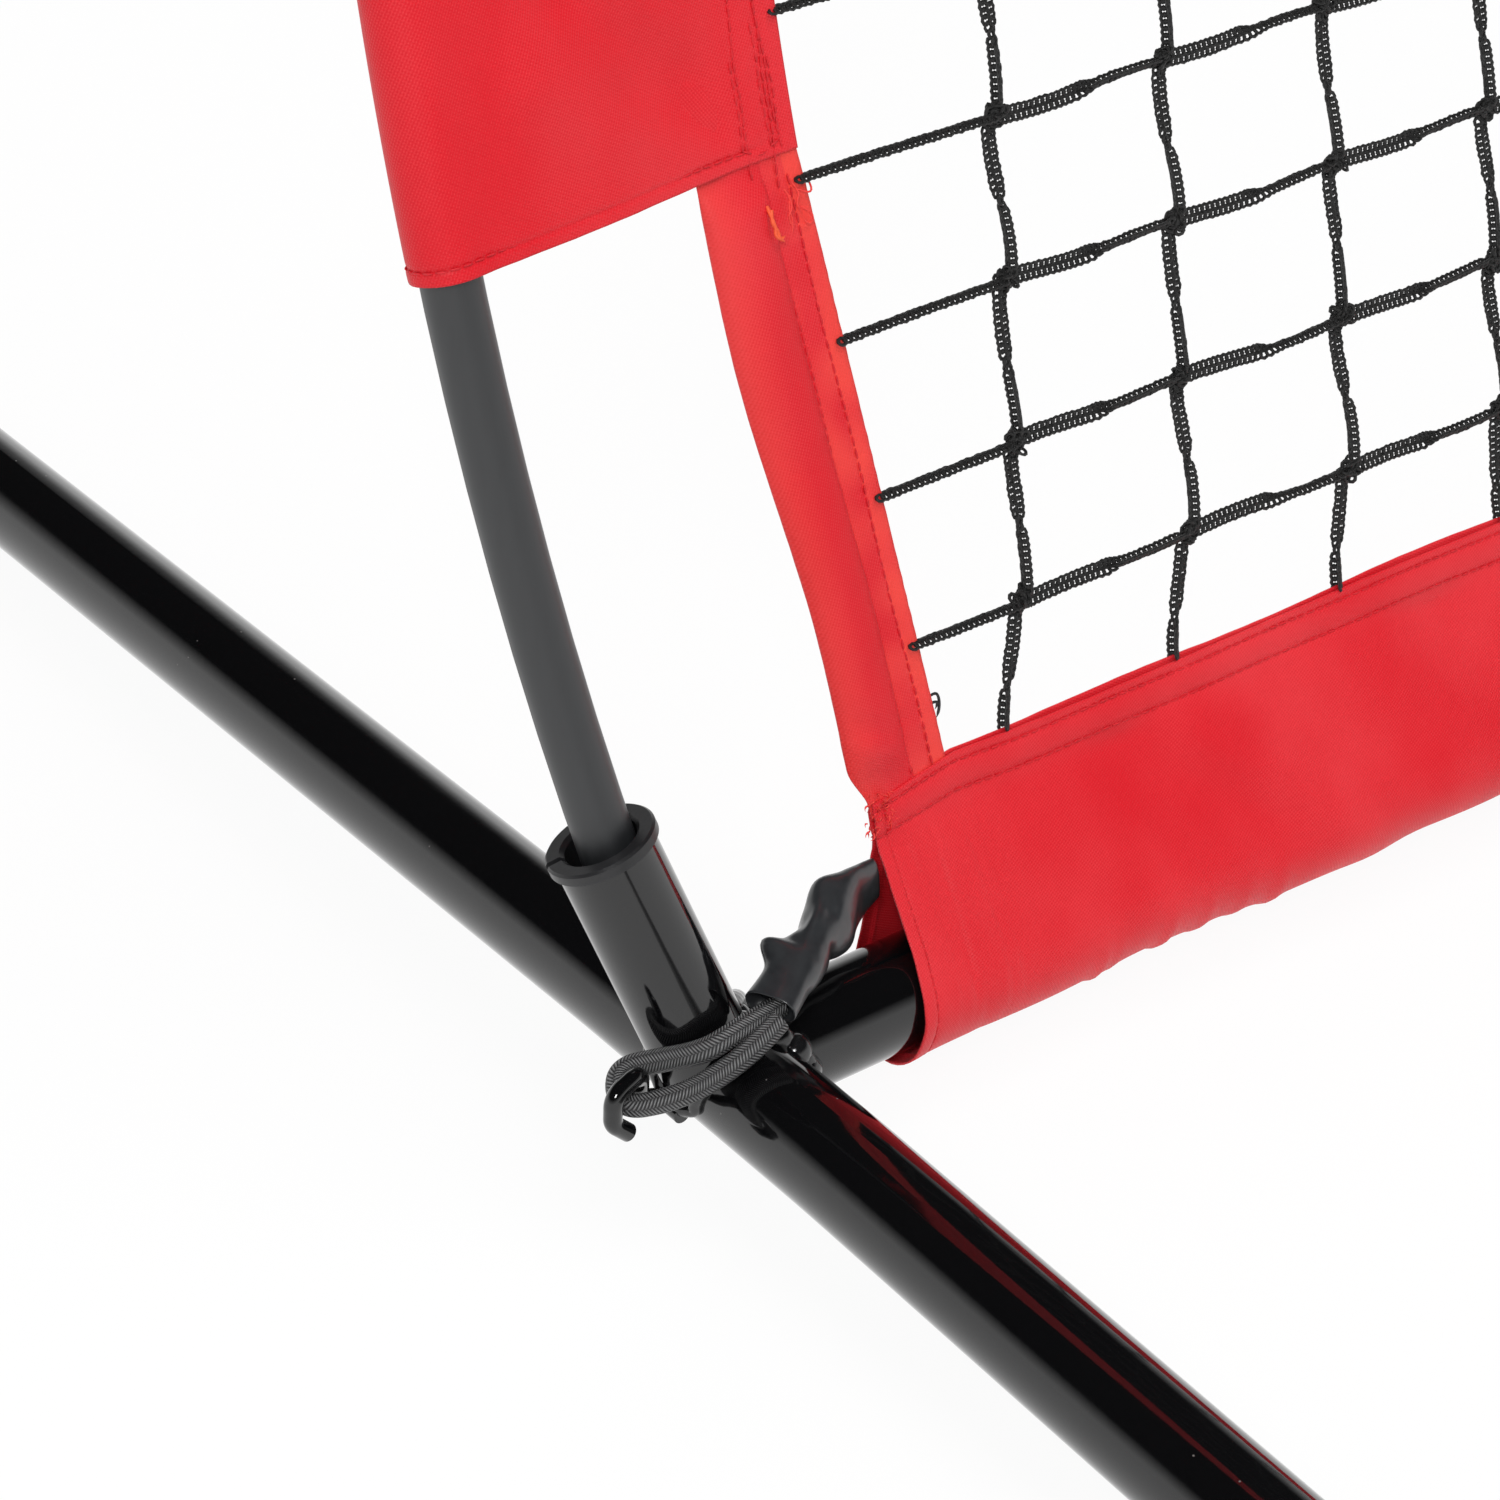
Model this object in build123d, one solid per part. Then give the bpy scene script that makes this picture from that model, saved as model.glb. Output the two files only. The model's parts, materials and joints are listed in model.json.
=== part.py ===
from build123d import *
from math import cos, hypot, pi, radians, sin, tan
import os

os.makedirs("parts", exist_ok=True)

# Axes: X runs along the crossbar, +Y is behind the net, +Z is up.
# The origin is on the floor, under the middle of the whole rebounder.

# Overall sizes
half_span = 600.0              # middle of the rebounder to each foot tube's axis
foot_front = 400.0             # foot tube in front of the crossbar
foot_back = 600.0              # foot tube behind the crossbar
pole_height = 1690.0           # crossbar axis to the pole tips, up the leaning frame
lean = 14.4                    # degrees that the frame leans back

# Steel base
tube_r = 14.0                  # foot and crossbar tubes
tube_wall = 1.5
arch_rise = 12.0               # each foot's ends sit this far below the crossbar
arch_flat = 45.0               # straight part of a foot, each way from the crossbar
arch_bend_r = 600.0
cap_wall = 3.5
cap_length = 34.0
cap_flat = 1.0                 # depth of the flat ground off under each cap
cap_slack = 0.1
cap_chamfer = 2.5
groove_at = 10.0               # grip groove, from the cap's closed end
groove_width = 4.0
groove_depth = 0.6
stub_length = 100.0            # crossbar welded to each foot, up to its shoulder
shoulder = 2.0                 # length of the taper down to a swaged neck
neck_length = 48.0
neck_slack = 0.15
weld_size = 2.2
bar_weld_size = 1.9            # lower on the crossbar than on the foot
hook_r = 2.35

# Sockets and bushes
pole_play = 4.25               # round the pole in its socket tube
socket_wall = 1.2
socket_out = 16.6              # degrees that each socket leans outward in the frame
socket_length = 70.6
socket_shift = -3.2            # the socket's foot lies this far outboard of the foot axis
socket_sink = 5.0              # its cut end, up the socket from the foot axis
bush_length = 24.0
bush_fit = 0.05
flange_lip = 1.4               # the bush's flange outside the socket tube
flange_height = 2.9
flange_chamfer = 0.6
bush_play = 2.05               # round the pole in its bush
mouth_chamfer = 1.0
slit_width = 1.8
slit_turn = 22.0

# Poles
pole_r = 7.25
pole_wall = 3.0
widest_u = -37.8               # pole axis at its widest, outboard of the foot axis
widest_v = 248.0               # height of that widest place up the frame
root_radius = 1050.0           # bend of the pole near its socket
root_reach = 42.0              # length of that bend above the widest place
middle_radius = 7000.0
middle_reach = 500.0
tip_radius = 20000.0
section_gap = 0.2
ferrule_wall = 0.7
ferrule_slack = 0.05
ferrule_length = 70.0
plug_height = 4.0
plug_spigot = 16.0
plug_slack = 0.15
plug_clear = 0.2               # between a pole's plug and the foot tube
tip_height = 7.0
tip_dome = 4.0                 # chamfer round the top of a pole's tip cap
tip_skirt = 22.0
shock_cord_r = 2.0

# Fabric
cloth_gap = 0.3                # clearance of cloth from what it lies beside
pocket_wall = 0.8
panel_width = 106.0            # side sleeve from its outer fold to the net
panel_thickness = 2.2
panel_bottom_v = 213.0
strip_top_width = 30.0
strip_bottom_u = (49.0, 77.0)
hem_v = 57.0                   # top edge of the bottom sleeve
hem_u = 50.0                   # open end of the bottom sleeve
sleeve_wall = 1.2
band_height = 60.0
tab_width = 9.0                # webbing tab that each shrink sleeve is fixed to
tab_thickness = 1.2
mesh_across = 55.0
mesh_up = 40.3
first_row_v = 87.3
net_cord_r = 1.4
net_gap = 0.05                 # between the level cords and the upright ones

# Snap buttons
button_r = 3.9
button_hole_r = 4.0
button_proud = 3.4
button_chamfer = 1.5
button_flange_r = 4.8
button_flange = 1.0
button_slack = 0.05
spring_width = 7.0
spring_gauge = 0.6
spring_reach = 36.0
spring_bend_r = 1.8

# Joints of the crossbar
middle_shoulder_x = -20.0      # shoulder of the left middle tube
mate_slack = 0.2               # from a shoulder's taper to the tube pushed over the neck

cap_r = tube_r + cap_wall
end_z = cap_r - cap_flat
joint_z = end_z + arch_rise
bar_y = (foot_front - foot_back) / 2
tube_bore = tube_r - tube_wall
neck_r = tube_bore - neck_slack
neck_bore = neck_r - tube_wall
socket_bore = pole_r + pole_play
socket_r = socket_bore + socket_wall
flange_r = socket_r + flange_lip
bush_bore_r = pole_r + bush_play
pole_bore_r = pole_r - pole_wall
junction = Vector(-half_span, bar_y, joint_z)
to_front = (0, -cos(radians(lean)), sin(radians(lean)))
frame = Plane(origin=junction, x_dir=(1, 0, 0), z_dir=to_front)
pieces = {}


# ---- The bowed line of a pole, in the leaning frame: u inboard, v up, s along it from its widest ----

def bow(s, inward=0.0):
    """Point on the pole's line, or on a line that lies inward of it, and the lean there."""
    if s <= root_reach:
        stretches = [(root_radius, s)]
    elif s <= root_reach + middle_reach:
        stretches = [(root_radius, root_reach), (middle_radius, s - root_reach)]
    else:
        rest = s - root_reach - middle_reach
        stretches = [(root_radius, root_reach), (middle_radius, middle_reach), (tip_radius, rest)]
    u, v, turn = widest_u, widest_v, 0.0
    for radius, length in stretches:
        after = turn + length / radius
        u += radius * (cos(turn) - cos(after))
        v += radius * (sin(after) - sin(turn))
        turn = after
    return Vector(u + inward * cos(turn), v - inward * sin(turn), 0), turn


def solve(test, low, high):
    """Value between low and high where test turns from true to false."""
    for _ in range(50):
        middle = (low + high) / 2
        if test(middle):
            low = middle
        else:
            high = middle
    return (low + high) / 2


def bow_path(start, end, inward=0.0):
    breaks = [b for b in (root_reach, root_reach + middle_reach) if start < b < end]
    stops = [start] + breaks + [end]
    arcs = []
    for a, b in zip(stops, stops[1:]):
        points = [bow(s, inward)[0] for s in (a, (a + b) / 2, b)]
        arcs.append(ThreePointArc(*points))
    return Wire(arcs)


def bow_plane(s):
    point, turn = bow(s)
    return Plane(origin=point, x_dir=(cos(turn), -sin(turn), 0), z_dir=(sin(turn), cos(turn), 0))


def along_bow(profile, start, end):
    return sweep(bow_plane(start) * profile, path=bow_path(start, end))


def ring(outer, inner):
    return Circle(outer) - Circle(inner)


def rod(path, section):
    """A bar along a path: a round one of a given radius, or of a given section."""
    if not isinstance(section, Sketch):
        section = Circle(section)
    return sweep(Plane(origin=path @ 0, z_dir=path % 0) * section, path=path)


def both_sides(name, part):
    """Keep a left-hand piece and its mirror image."""
    pieces["left_" + name] = part
    pieces["right_" + name] = mirror(part, about=Plane.YZ)


def lying(section, start, end):
    """A straight bar between two points: a round one of a given radius, or of a given section."""
    axis = Vector(*end) - Vector(*start)
    if not isinstance(section, Sketch):
        section = Circle(section)
    return extrude(Plane(origin=start, z_dir=axis) * section, axis.length)


# ---- Steel base ----

foot_path = FilletPolyline(
    junction + Vector(0, -foot_front, -arch_rise),
    junction + Vector(0, -arch_flat, 0),
    junction + Vector(0, arch_flat, 0),
    junction + Vector(0, foot_back, -arch_rise),
    radius=arch_bend_r,
)
near_foot = (junction - Vector(0, arch_flat / 2, 0), junction + Vector(0, arch_flat, 0))
foot_solid = lying(tube_r, *near_foot)
both_sides("foot_tube", rod(foot_path, ring(tube_r, tube_bore)))


def foot_cap(end, outward):
    """Push-on rubber cap with a flat tread and a grip groove."""
    cap = Cylinder(cap_r, cap_length, align=(Align.CENTER, Align.CENTER, Align.MAX))
    cap = chamfer(cap.edges().sort_by(Axis.Z)[-1], cap_chamfer)
    pocket = Cylinder(tube_r + cap_slack, cap_length, align=(Align.CENTER, Align.CENTER, Align.MAX))
    cap -= Pos(0, 0, -cap_wall) * pocket
    cap -= Pos(0, 0, -groove_at - groove_width) * extrude(ring(2 * cap_r, cap_r - groove_depth), groove_width)
    cap = Plane(origin=end + outward * cap_wall, x_dir=(1, 0, 0), z_dir=outward) * cap
    below = Box(4 * cap_r, 4 * cap_length, 2 * cap_r, align=(Align.CENTER, Align.CENTER, Align.MAX))
    return cap - Pos(end.X, end.Y, 0) * below


both_sides("front_foot_cap", foot_cap(foot_path @ 0, -(foot_path % 0)))
both_sides("back_foot_cap", foot_cap(foot_path @ 1, foot_path % 1))

shoulder_x = -half_span + stub_length


def swaged_tube(start_x, shoulder_at):
    """Tube along +X whose far end is drawn down to a neck, with a hole for its snap button."""
    neck_end = shoulder_at + shoulder + neck_length
    with BuildSketch(Plane.XZ) as half:
        with BuildLine():
            Polyline(
                (start_x, tube_bore),
                (start_x, tube_r),
                (shoulder_at, tube_r),
                (shoulder_at + shoulder, neck_r),
                (neck_end, neck_r),
                (neck_end, neck_bore),
                (shoulder_at + shoulder, neck_bore),
                (shoulder_at, tube_bore),
                close=True,
            )
        make_face()
    tube = revolve(half.sketch, axis=Axis.X)
    return Pos(0, bar_y, joint_z) * tube


def button_hole(x):
    hole = Cylinder(button_hole_r, 2 * tube_r, align=(Align.CENTER, Align.CENTER, Align.MIN))
    return Pos(x, bar_y, joint_z) * hole


half_lap = shoulder + neck_length / 2
left_button_x = shoulder_x + half_lap
middle_button_x = middle_shoulder_x + half_lap
mate_gap = shoulder + mate_slack

stub = swaged_tube(-half_span, shoulder_x) - foot_solid - button_hole(left_button_x)
both_sides("crossbar_stub", stub)

left_middle = swaged_tube(shoulder_x + mate_gap, middle_shoulder_x)
left_middle -= button_hole(left_button_x)
left_middle -= button_hole(middle_button_x)
pieces["left_crossbar_tube"] = left_middle

right_start = middle_shoulder_x + mate_gap
right_end = -(shoulder_x + mate_gap)
plain_tube = extrude(Plane.YZ * ring(tube_r, tube_bore), right_end - right_start)
right_middle = Pos(right_start, bar_y, joint_z) * plain_tube
right_middle -= button_hole(middle_button_x)
right_middle -= button_hole(-left_button_x)
pieces["right_crossbar_tube"] = right_middle

# ---- Snap buttons and their springs, in each swaged neck ----


def snap_button():
    """Domed pin with a flange that stops it under the neck's wall."""
    flange_top = (neck_bore ** 2 - button_flange_r ** 2) ** 0.5 - button_slack
    pin_top = tube_r + button_proud
    pin = Cylinder(button_r, pin_top - flange_top, align=(Align.CENTER, Align.CENTER, Align.MIN))
    pin = chamfer(pin.edges().sort_by(Axis.Z)[-1], button_chamfer)
    flange = Cylinder(button_flange_r, button_flange, align=(Align.CENTER, Align.CENTER, Align.MAX))
    return Pos(0, 0, flange_top) * (pin + flange), flange_top - button_flange


def button_spring(under_flange):
    """Flat spring strip bent to a V, pressing the button up off the neck's floor."""
    half_gauge = spring_gauge / 2
    floor = -((neck_bore ** 2 - (spring_width / 2) ** 2) ** 0.5) + half_gauge + button_slack
    top = under_flange - half_gauge
    seat = button_flange_r + 2.0
    bend = spring_bend_r + 0.4
    line = FilletPolyline(
        (seat, 0, top),
        (-seat, 0, top),
        (-spring_reach, 0, bend),
        (-spring_reach, 0, -bend),
        (-seat, 0, floor),
        (button_flange_r, 0, floor),
        radius=spring_bend_r,
    )
    section = Plane(origin=line @ 0, x_dir=(0, 1, 0), z_dir=line % 0) * Rectangle(spring_width, spring_gauge)
    return sweep(section, path=line)


button, button_seat = snap_button()
spring = button_spring(button_seat)
for name, x, flip in (
    ("left", left_button_x, 1),
    ("middle", middle_button_x, 1),
    ("right", -left_button_x, -1),
):
    place = Pos(x, bar_y, joint_z)
    pieces[name + "_snap_button"] = place * button
    pieces[name + "_button_spring"] = place * (spring if flip > 0 else mirror(spring, about=Plane.YZ))

# ---- Sockets, split bushes and the weld beads round them ----

socket_axis = Vector(-sin(radians(socket_out)), cos(radians(socket_out)), 0)
socket_plane = frame * Plane(origin=(socket_shift, 0, 0), x_dir=(0, 0, 1), z_dir=socket_axis)
bar_solid = lying(tube_r, junction, junction + Vector(stub_length, 0, 0))


def socket_cylinder(radius, start, end):
    return socket_plane * (Pos(0, 0, start) * Cylinder(
        radius, end - start, align=(Align.CENTER, Align.CENTER, Align.MIN)))


def top_part(shape):
    """The piece of a cut shape that stands highest."""
    return shape.solids().sort_by(Axis.Z)[-1]


socket_tube = socket_cylinder(socket_r, socket_sink, socket_length)
socket_tube -= socket_cylinder(socket_bore, 0, socket_length + 1)
socket_tube = top_part(socket_tube - foot_solid - bar_solid)
both_sides("socket_tube", socket_tube)


def socket_bush():
    """Split bush: a press-in body under a flange, with a funnel mouth."""
    body_r = socket_bore - bush_fit
    body = Cylinder(body_r, bush_length, align=(Align.CENTER, Align.CENTER, Align.MAX))
    flange = Cylinder(flange_r, flange_height, align=(Align.CENTER, Align.CENTER, Align.MIN))
    flange = chamfer(flange.edges().sort_by(Axis.Z)[-1], flange_chamfer)
    bush = body + flange
    bush -= Cylinder(bush_bore_r, 3 * bush_length)
    mouth = bush.edges().filter_by(GeomType.CIRCLE).group_by(Axis.Z)[-1].sort_by(SortBy.RADIUS)[0]
    bush = chamfer(mouth, mouth_chamfer)
    slit = Pos(flange_r / 2, 0, 0) * Box(flange_r, slit_width, 4 * bush_length)
    return bush - slit


bush_place = socket_plane * Pos(0, 0, socket_length)
both_sides("socket_bush", bush_place * (Rot(0, 0, -90 - slit_turn) * socket_bush()))


# ---- Net hook: a bent rod whose leg is welded along the foot's outer flank ----

hook_gap = 0.05
leg_z = -4.5
leg_x = -((tube_r + hook_r + hook_gap) ** 2 - leg_z ** 2) ** 0.5
leg_ends = (-3.5, 6.0)
hook_route = [
    (leg_x, leg_ends[0], leg_z),
    (leg_x, leg_ends[1], leg_z),
    (leg_x - 7.0, leg_ends[1], leg_z + 1.5),
    (leg_x - 11.5, -1.8, 2.5),
    (leg_x - 15.3, -7.8, 18.0),
    (leg_x - 24.7, -10.2, 16.5),
    (leg_x - 25.0, -10.2, 8.5),
    (leg_x - 20.6, -10.2, 4.0),
]
hook_radii = [3.0, 3.6, 6.0, 4.0, 4.0, 3.6]


def tangent_radii(points, share=0.45):
    """Largest arc at each inner point that its two runs leave room for."""
    vectors = [Vector(*p) for p in points]
    radii = []
    for before, here, after in zip(vectors, vectors[1:], vectors[2:]):
        turn = radians((here - before).get_angle(after - here))
        radii.append(share * min((here - before).length, (after - here).length) / tan(turn / 2))
    return radii


def at_junction(points):
    return [junction + Vector(*p) for p in points]


hook_path = FilletPolyline(*at_junction(hook_route), radius=hook_radii)
hook = rod(hook_path, hook_r)
both_sides("net_hook", hook)

# ---- Weld beads round the joints ----

bead_reach = 60.0              # how far from the junction a bead can lie
smallest_bead = 2.0            # cubic millimetres


def beads(first, second, *tubes):
    """Weld beads: what lies close outside two tubes at once, less the tubes themselves."""
    shape = (first & second) - list(tubes)
    return [solid for solid in shape.solids() if solid.volume > smallest_bead]


grown_foot = lying(tube_r + weld_size, *near_foot)
grown_bar = lying(tube_r + bar_weld_size, junction, junction + Vector(bead_reach, 0, 0))
solid_socket = socket_cylinder(socket_r, 0, socket_length)
grown_socket = socket_cylinder(socket_r + weld_size, socket_sink, socket_length)
leg_weld = at_junction([(leg_x, leg_ends[0] + 1.0, leg_z), (leg_x, leg_ends[1] - 2.5, leg_z)])
grown_leg = lying(hook_r + weld_size / 2, *leg_weld)
steel = (foot_solid, bar_solid, solid_socket, hook)
weld_parts = beads(grown_foot, grown_socket, *steel)
weld_parts += beads(grown_foot, grown_bar, *steel, grown_socket)
weld_parts += beads(grown_foot, grown_leg, *steel, grown_socket)
both_sides("weld_beads", Compound(children=weld_parts))

# ---- Poles ----

tip_s = solve(lambda s: bow(s)[0].Y < pole_height, 0, 2 * pole_height)


def plug_gap(s):
    """Distance from the foot tube's axis to the nearest rim point of a plug whose end is at s."""
    point, turn = bow(s)
    gaps = []
    for step in range(-18, 19):
        angle = step * pi / 36
        u = point.X + pole_r * cos(angle) * cos(turn)
        v = point.Y - pole_r * cos(angle) * sin(turn)
        gaps.append(hypot(u, v * cos(radians(lean)) + pole_r * sin(angle) * sin(radians(lean))))
    return min(gaps)


plug_s = solve(lambda s: plug_gap(s) < tube_r + plug_clear, -widest_v, 0)
root_s = plug_s + plug_height
section = (tip_s - root_s) / 3
joints_s = [root_s + section, root_s + 2 * section]
spans = {
    "lower": (root_s, joints_s[0] - section_gap / 2),
    "middle": (joints_s[0] + section_gap / 2, joints_s[1] - section_gap / 2),
    "upper": (joints_s[1] + section_gap / 2, tip_s),
}
for name, (start, end) in spans.items():
    both_sides(name + "_pole", frame * along_bow(ring(pole_r, pole_bore_r), start, end))

ferrule_r = pole_r + ferrule_slack
ferrule_ring = ring(ferrule_r + ferrule_wall, ferrule_r)
for name, s in zip(("lower", "upper"), joints_s):
    sleeve = along_bow(ferrule_ring, s - ferrule_length / 2, s + ferrule_length / 2)
    both_sides(name + "_ferrule", frame * sleeve)

plug = Pos(0, 0, -plug_height) * extrude(Circle(pole_r), plug_height)
plug += extrude(Circle(pole_bore_r - plug_slack), plug_spigot)
plug -= Cylinder(shock_cord_r + plug_slack, 3 * plug_spigot)
both_sides("pole_plug", frame * (bow_plane(root_s) * plug))

tip_r = ferrule_r + ferrule_wall
tip_cap = Cylinder(tip_r, tip_skirt + tip_height, align=(Align.CENTER, Align.CENTER, Align.MIN))
tip_cap = chamfer(tip_cap.edges().sort_by(Axis.Z)[-1], tip_dome)
tip_cap -= Cylinder(ferrule_r, tip_skirt + section_gap, align=(Align.CENTER, Align.CENTER, Align.MIN))
tip_cap = Pos(0, 0, -tip_skirt) * tip_cap
both_sides("pole_tip_cap", frame * (bow_plane(tip_s) * tip_cap))

shock_cord = along_bow(RegularPolygon(shock_cord_r, 6), plug_s + 0.5, tip_s)
both_sides("pole_shock_cord", frame * shock_cord)

# ---- Cloth: side sleeves, corner strips, bottom sleeve and top band ----

pocket_bore = tip_r + cloth_gap
pocket_r = pocket_bore + pocket_wall
panel_edge = panel_width - pocket_r
panel_s = solve(lambda s: bow(s)[0].Y < panel_bottom_v, -widest_v, widest_v)
sleeve_top_s = tip_s + tip_height + 2 * cloth_gap


def pocket(inner_r):
    """Plain eight-sided pocket whose flats clear a circle of this radius."""
    return RegularPolygon(inner_r, 8, major_radius=False, rotation=22.5)


def sleeve_profile(bore):
    flat = Pos(panel_edge / 2, 0) * Rectangle(panel_edge, panel_thickness)
    outline = pocket(pocket_r) + flat
    return outline - pocket(pocket_bore) if bore else outline


side_sleeve = along_bow(sleeve_profile(True), panel_s, sleeve_top_s)
side_sleeve += along_bow(sleeve_profile(False), sleeve_top_s, sleeve_top_s + pocket_wall)
both_sides("side_sleeve", frame * side_sleeve)


panel_corner = bow(panel_s, panel_edge)[0]
panel_inner = bow(panel_s, panel_edge - strip_top_width)[0]


def edge_u(v):
    """Where the net-side edge of the cloth lies, at a height up the frame."""
    if v < panel_corner.Y:
        share = (v - hem_v) / (panel_corner.Y - hem_v)
        return strip_bottom_u[1] + (panel_corner.X - strip_bottom_u[1]) * share
    s = solve(lambda t: bow(t, panel_edge)[0].Y < v, -widest_v, 2 * pole_height)
    return bow(s, panel_edge)[0].X


def flat_cloth(points):
    return extrude(make_face(Polyline(*points, close=True)), panel_thickness / 2, both=True)


strip = flat_cloth([
    (panel_inner.X, panel_inner.Y - cloth_gap),
    (strip_bottom_u[0], hem_v + cloth_gap),
    (strip_bottom_u[1], hem_v + cloth_gap),
    (panel_corner.X, panel_corner.Y - cloth_gap),
])
both_sides("corner_strip", frame * strip)

sleeve_length = 2 * (half_span - hem_u)
hollow_r = tube_r + cloth_gap
outer_fold = Pos(0, hem_v - sleeve_wall) * Circle(sleeve_wall)
outer_loop = make_hull((Circle(hollow_r + sleeve_wall) + outer_fold).edges())
fold_v = hem_v - 3 * sleeve_wall
inner_loop = make_hull((Circle(hollow_r) + Pos(0, fold_v) * Circle(sleeve_wall / 3)).edges())
across = Plane(origin=frame.origin + Vector(hem_u, 0, 0), x_dir=-frame.z_dir, z_dir=(1, 0, 0))
pieces["bottom_sleeve"] = extrude(across * (outer_loop - inner_loop), sleeve_length)

top_v = bow(tip_s, panel_edge)[0].Y
band_v = top_v - band_height
band_u = [edge_u(v) + cloth_gap for v in (band_v, top_v)]
far = 2 * half_span
band = flat_cloth([
    (band_u[0], band_v),
    (far - band_u[0], band_v),
    (far - band_u[1], top_v),
    (band_u[1], top_v),
])
pieces["top_band"] = frame * band

# ---- Net: level cords in front, upright cords behind ----

lift = net_cord_r + net_gap / 2
net_cord = RegularPolygon(net_cord_r, 6)
level_cords = []
row_v = first_row_v
while row_v < band_v - mesh_up / 3:
    u = edge_u(row_v) + cloth_gap
    level_cords.append(frame * lying(net_cord, (u, row_v, lift), (far - u, row_v, lift)))
    row_v += mesh_up
pieces["net_level_cords"] = Compound(children=level_cords)

columns = int((half_span - strip_bottom_u[1]) / mesh_across)
narrowing = (half_span - band_u[0]) / (half_span - edge_u(panel_bottom_v))
upright_cords = []
for column in range(-columns, columns + 1):
    foot_point = (half_span + mesh_across * column, hem_v + cloth_gap, -lift)
    head_point = (half_span + mesh_across * column * narrowing, band_v - cloth_gap, -lift)
    upright_cords.append(frame * lying(net_cord, foot_point, head_point))
pieces["net_upright_cords"] = Compound(children=upright_cords)

# ---- Corner loops: a doubled elastic cord in a shrink sleeve, hooked on the base ----

loop_cord_r = 3.0
cord_sides = 10                # flats round a plain stand-in for a cord or its sleeve
shrink_route = [               # u, v and n in the leaning frame, and the radius there
    (4.5, 20.7, 17.7, 5.9),
    (13.0, 23.6, 14.2, 5.7),
    (20.5, 26.1, 11.1, 6.8),
    (29.0, 28.8, 7.2, 7.9),
    (36.5, 30.8, 3.8, 7.0),
    (44.0, 32.0, 1.2, 4.8),
    (52.5, 32.8, 0.3, 4.2),
    (64.0, 33.8, 0.0, 4.0),
]
shrink_line = [frame.from_local_coords(Vector(u, v, n)) for u, v, n, radius in shrink_route]
shrink_rings = []
for index, (point, row) in enumerate(zip(shrink_line, shrink_route)):
    before = shrink_line[max(index - 1, 0)]
    after = shrink_line[min(index + 1, len(shrink_line) - 1)]
    across_line = Plane(origin=point, x_dir=(0, 0, 1), z_dir=after - before)
    shrink_rings.append(across_line * RegularPolygon(row[3], cord_sides))
both_sides("shrink_sleeve", loft(shrink_rings, ruled=True))
shrink_low = shrink_line[0] - junction
shrink_axis = (shrink_line[1] - shrink_line[0]).normalized()

strand_start = 1.0             # the strands run this far into the shrink sleeve
strand_side = Vector(-shrink_axis.Y, shrink_axis.X, 0).normalized() * (loop_cord_r + 0.1)
loop_route = [
    tuple(shrink_low + strand_side + shrink_axis * strand_start),
    (-8.5, -13.2, 22.0),
    (-15.0, -12.0, 19.5),
    (-22.1, -4.6, 15.7),
    (-31.8, 1.5, 13.6),
    (-36.6, -7.7, 9.5),
    (-26.9, -13.8, 11.5),
    (-17.0, -15.5, 13.0),
    (-5.6, -18.5, 19.5),
    tuple(shrink_low - strand_side + shrink_axis * strand_start),
]
loop_path = FilletPolyline(*at_junction(loop_route), radius=tangent_radii(loop_route))
print("loop cord length", round(loop_path.length, 1))
both_sides("loop_cord", rod(loop_path, RegularPolygon(loop_cord_r, cord_sides)))

tab_start = shrink_route[-1][0] + 0.5
tab_low = shrink_route[-1][1] - shrink_route[-1][3] / 2 - 0.8
tab_top = fold_v - 2.1
tab = make_face(Polyline(
    (tab_start, tab_low),
    (strip_bottom_u[1] + tab_width, tab_top),
    (strip_bottom_u[1], tab_top),
    (tab_start, tab_low + 6.0),
    close=True,
))
both_sides("net_tab", frame * extrude(tab, tab_thickness / 2, both=True))

for name, part in pieces.items():
    part.label = name
    export_step(part, f"parts/{name}.step")
print(len(pieces), "nodes")
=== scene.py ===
import json
import math

import bpy
import numpy as np
from mathutils import Matrix, Vector, noise

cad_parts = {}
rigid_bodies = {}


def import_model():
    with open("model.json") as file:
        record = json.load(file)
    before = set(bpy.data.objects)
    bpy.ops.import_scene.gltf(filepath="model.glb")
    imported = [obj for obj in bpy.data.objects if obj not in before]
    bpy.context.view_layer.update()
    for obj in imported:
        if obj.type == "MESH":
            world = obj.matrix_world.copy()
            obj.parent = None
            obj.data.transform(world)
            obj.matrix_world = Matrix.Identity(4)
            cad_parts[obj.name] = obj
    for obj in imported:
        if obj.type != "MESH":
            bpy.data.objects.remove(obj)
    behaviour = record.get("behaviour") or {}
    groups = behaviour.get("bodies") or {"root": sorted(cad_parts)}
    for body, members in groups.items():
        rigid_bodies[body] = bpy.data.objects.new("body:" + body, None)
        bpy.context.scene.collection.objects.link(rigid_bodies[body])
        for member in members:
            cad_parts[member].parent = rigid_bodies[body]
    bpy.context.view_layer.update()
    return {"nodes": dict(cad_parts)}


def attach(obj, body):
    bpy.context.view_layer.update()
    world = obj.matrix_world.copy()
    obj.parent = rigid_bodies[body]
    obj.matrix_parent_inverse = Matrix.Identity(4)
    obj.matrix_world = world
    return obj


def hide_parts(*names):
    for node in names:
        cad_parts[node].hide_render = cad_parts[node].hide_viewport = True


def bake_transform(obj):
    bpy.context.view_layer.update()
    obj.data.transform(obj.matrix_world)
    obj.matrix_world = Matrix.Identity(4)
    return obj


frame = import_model()
mm = 0.001

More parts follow.
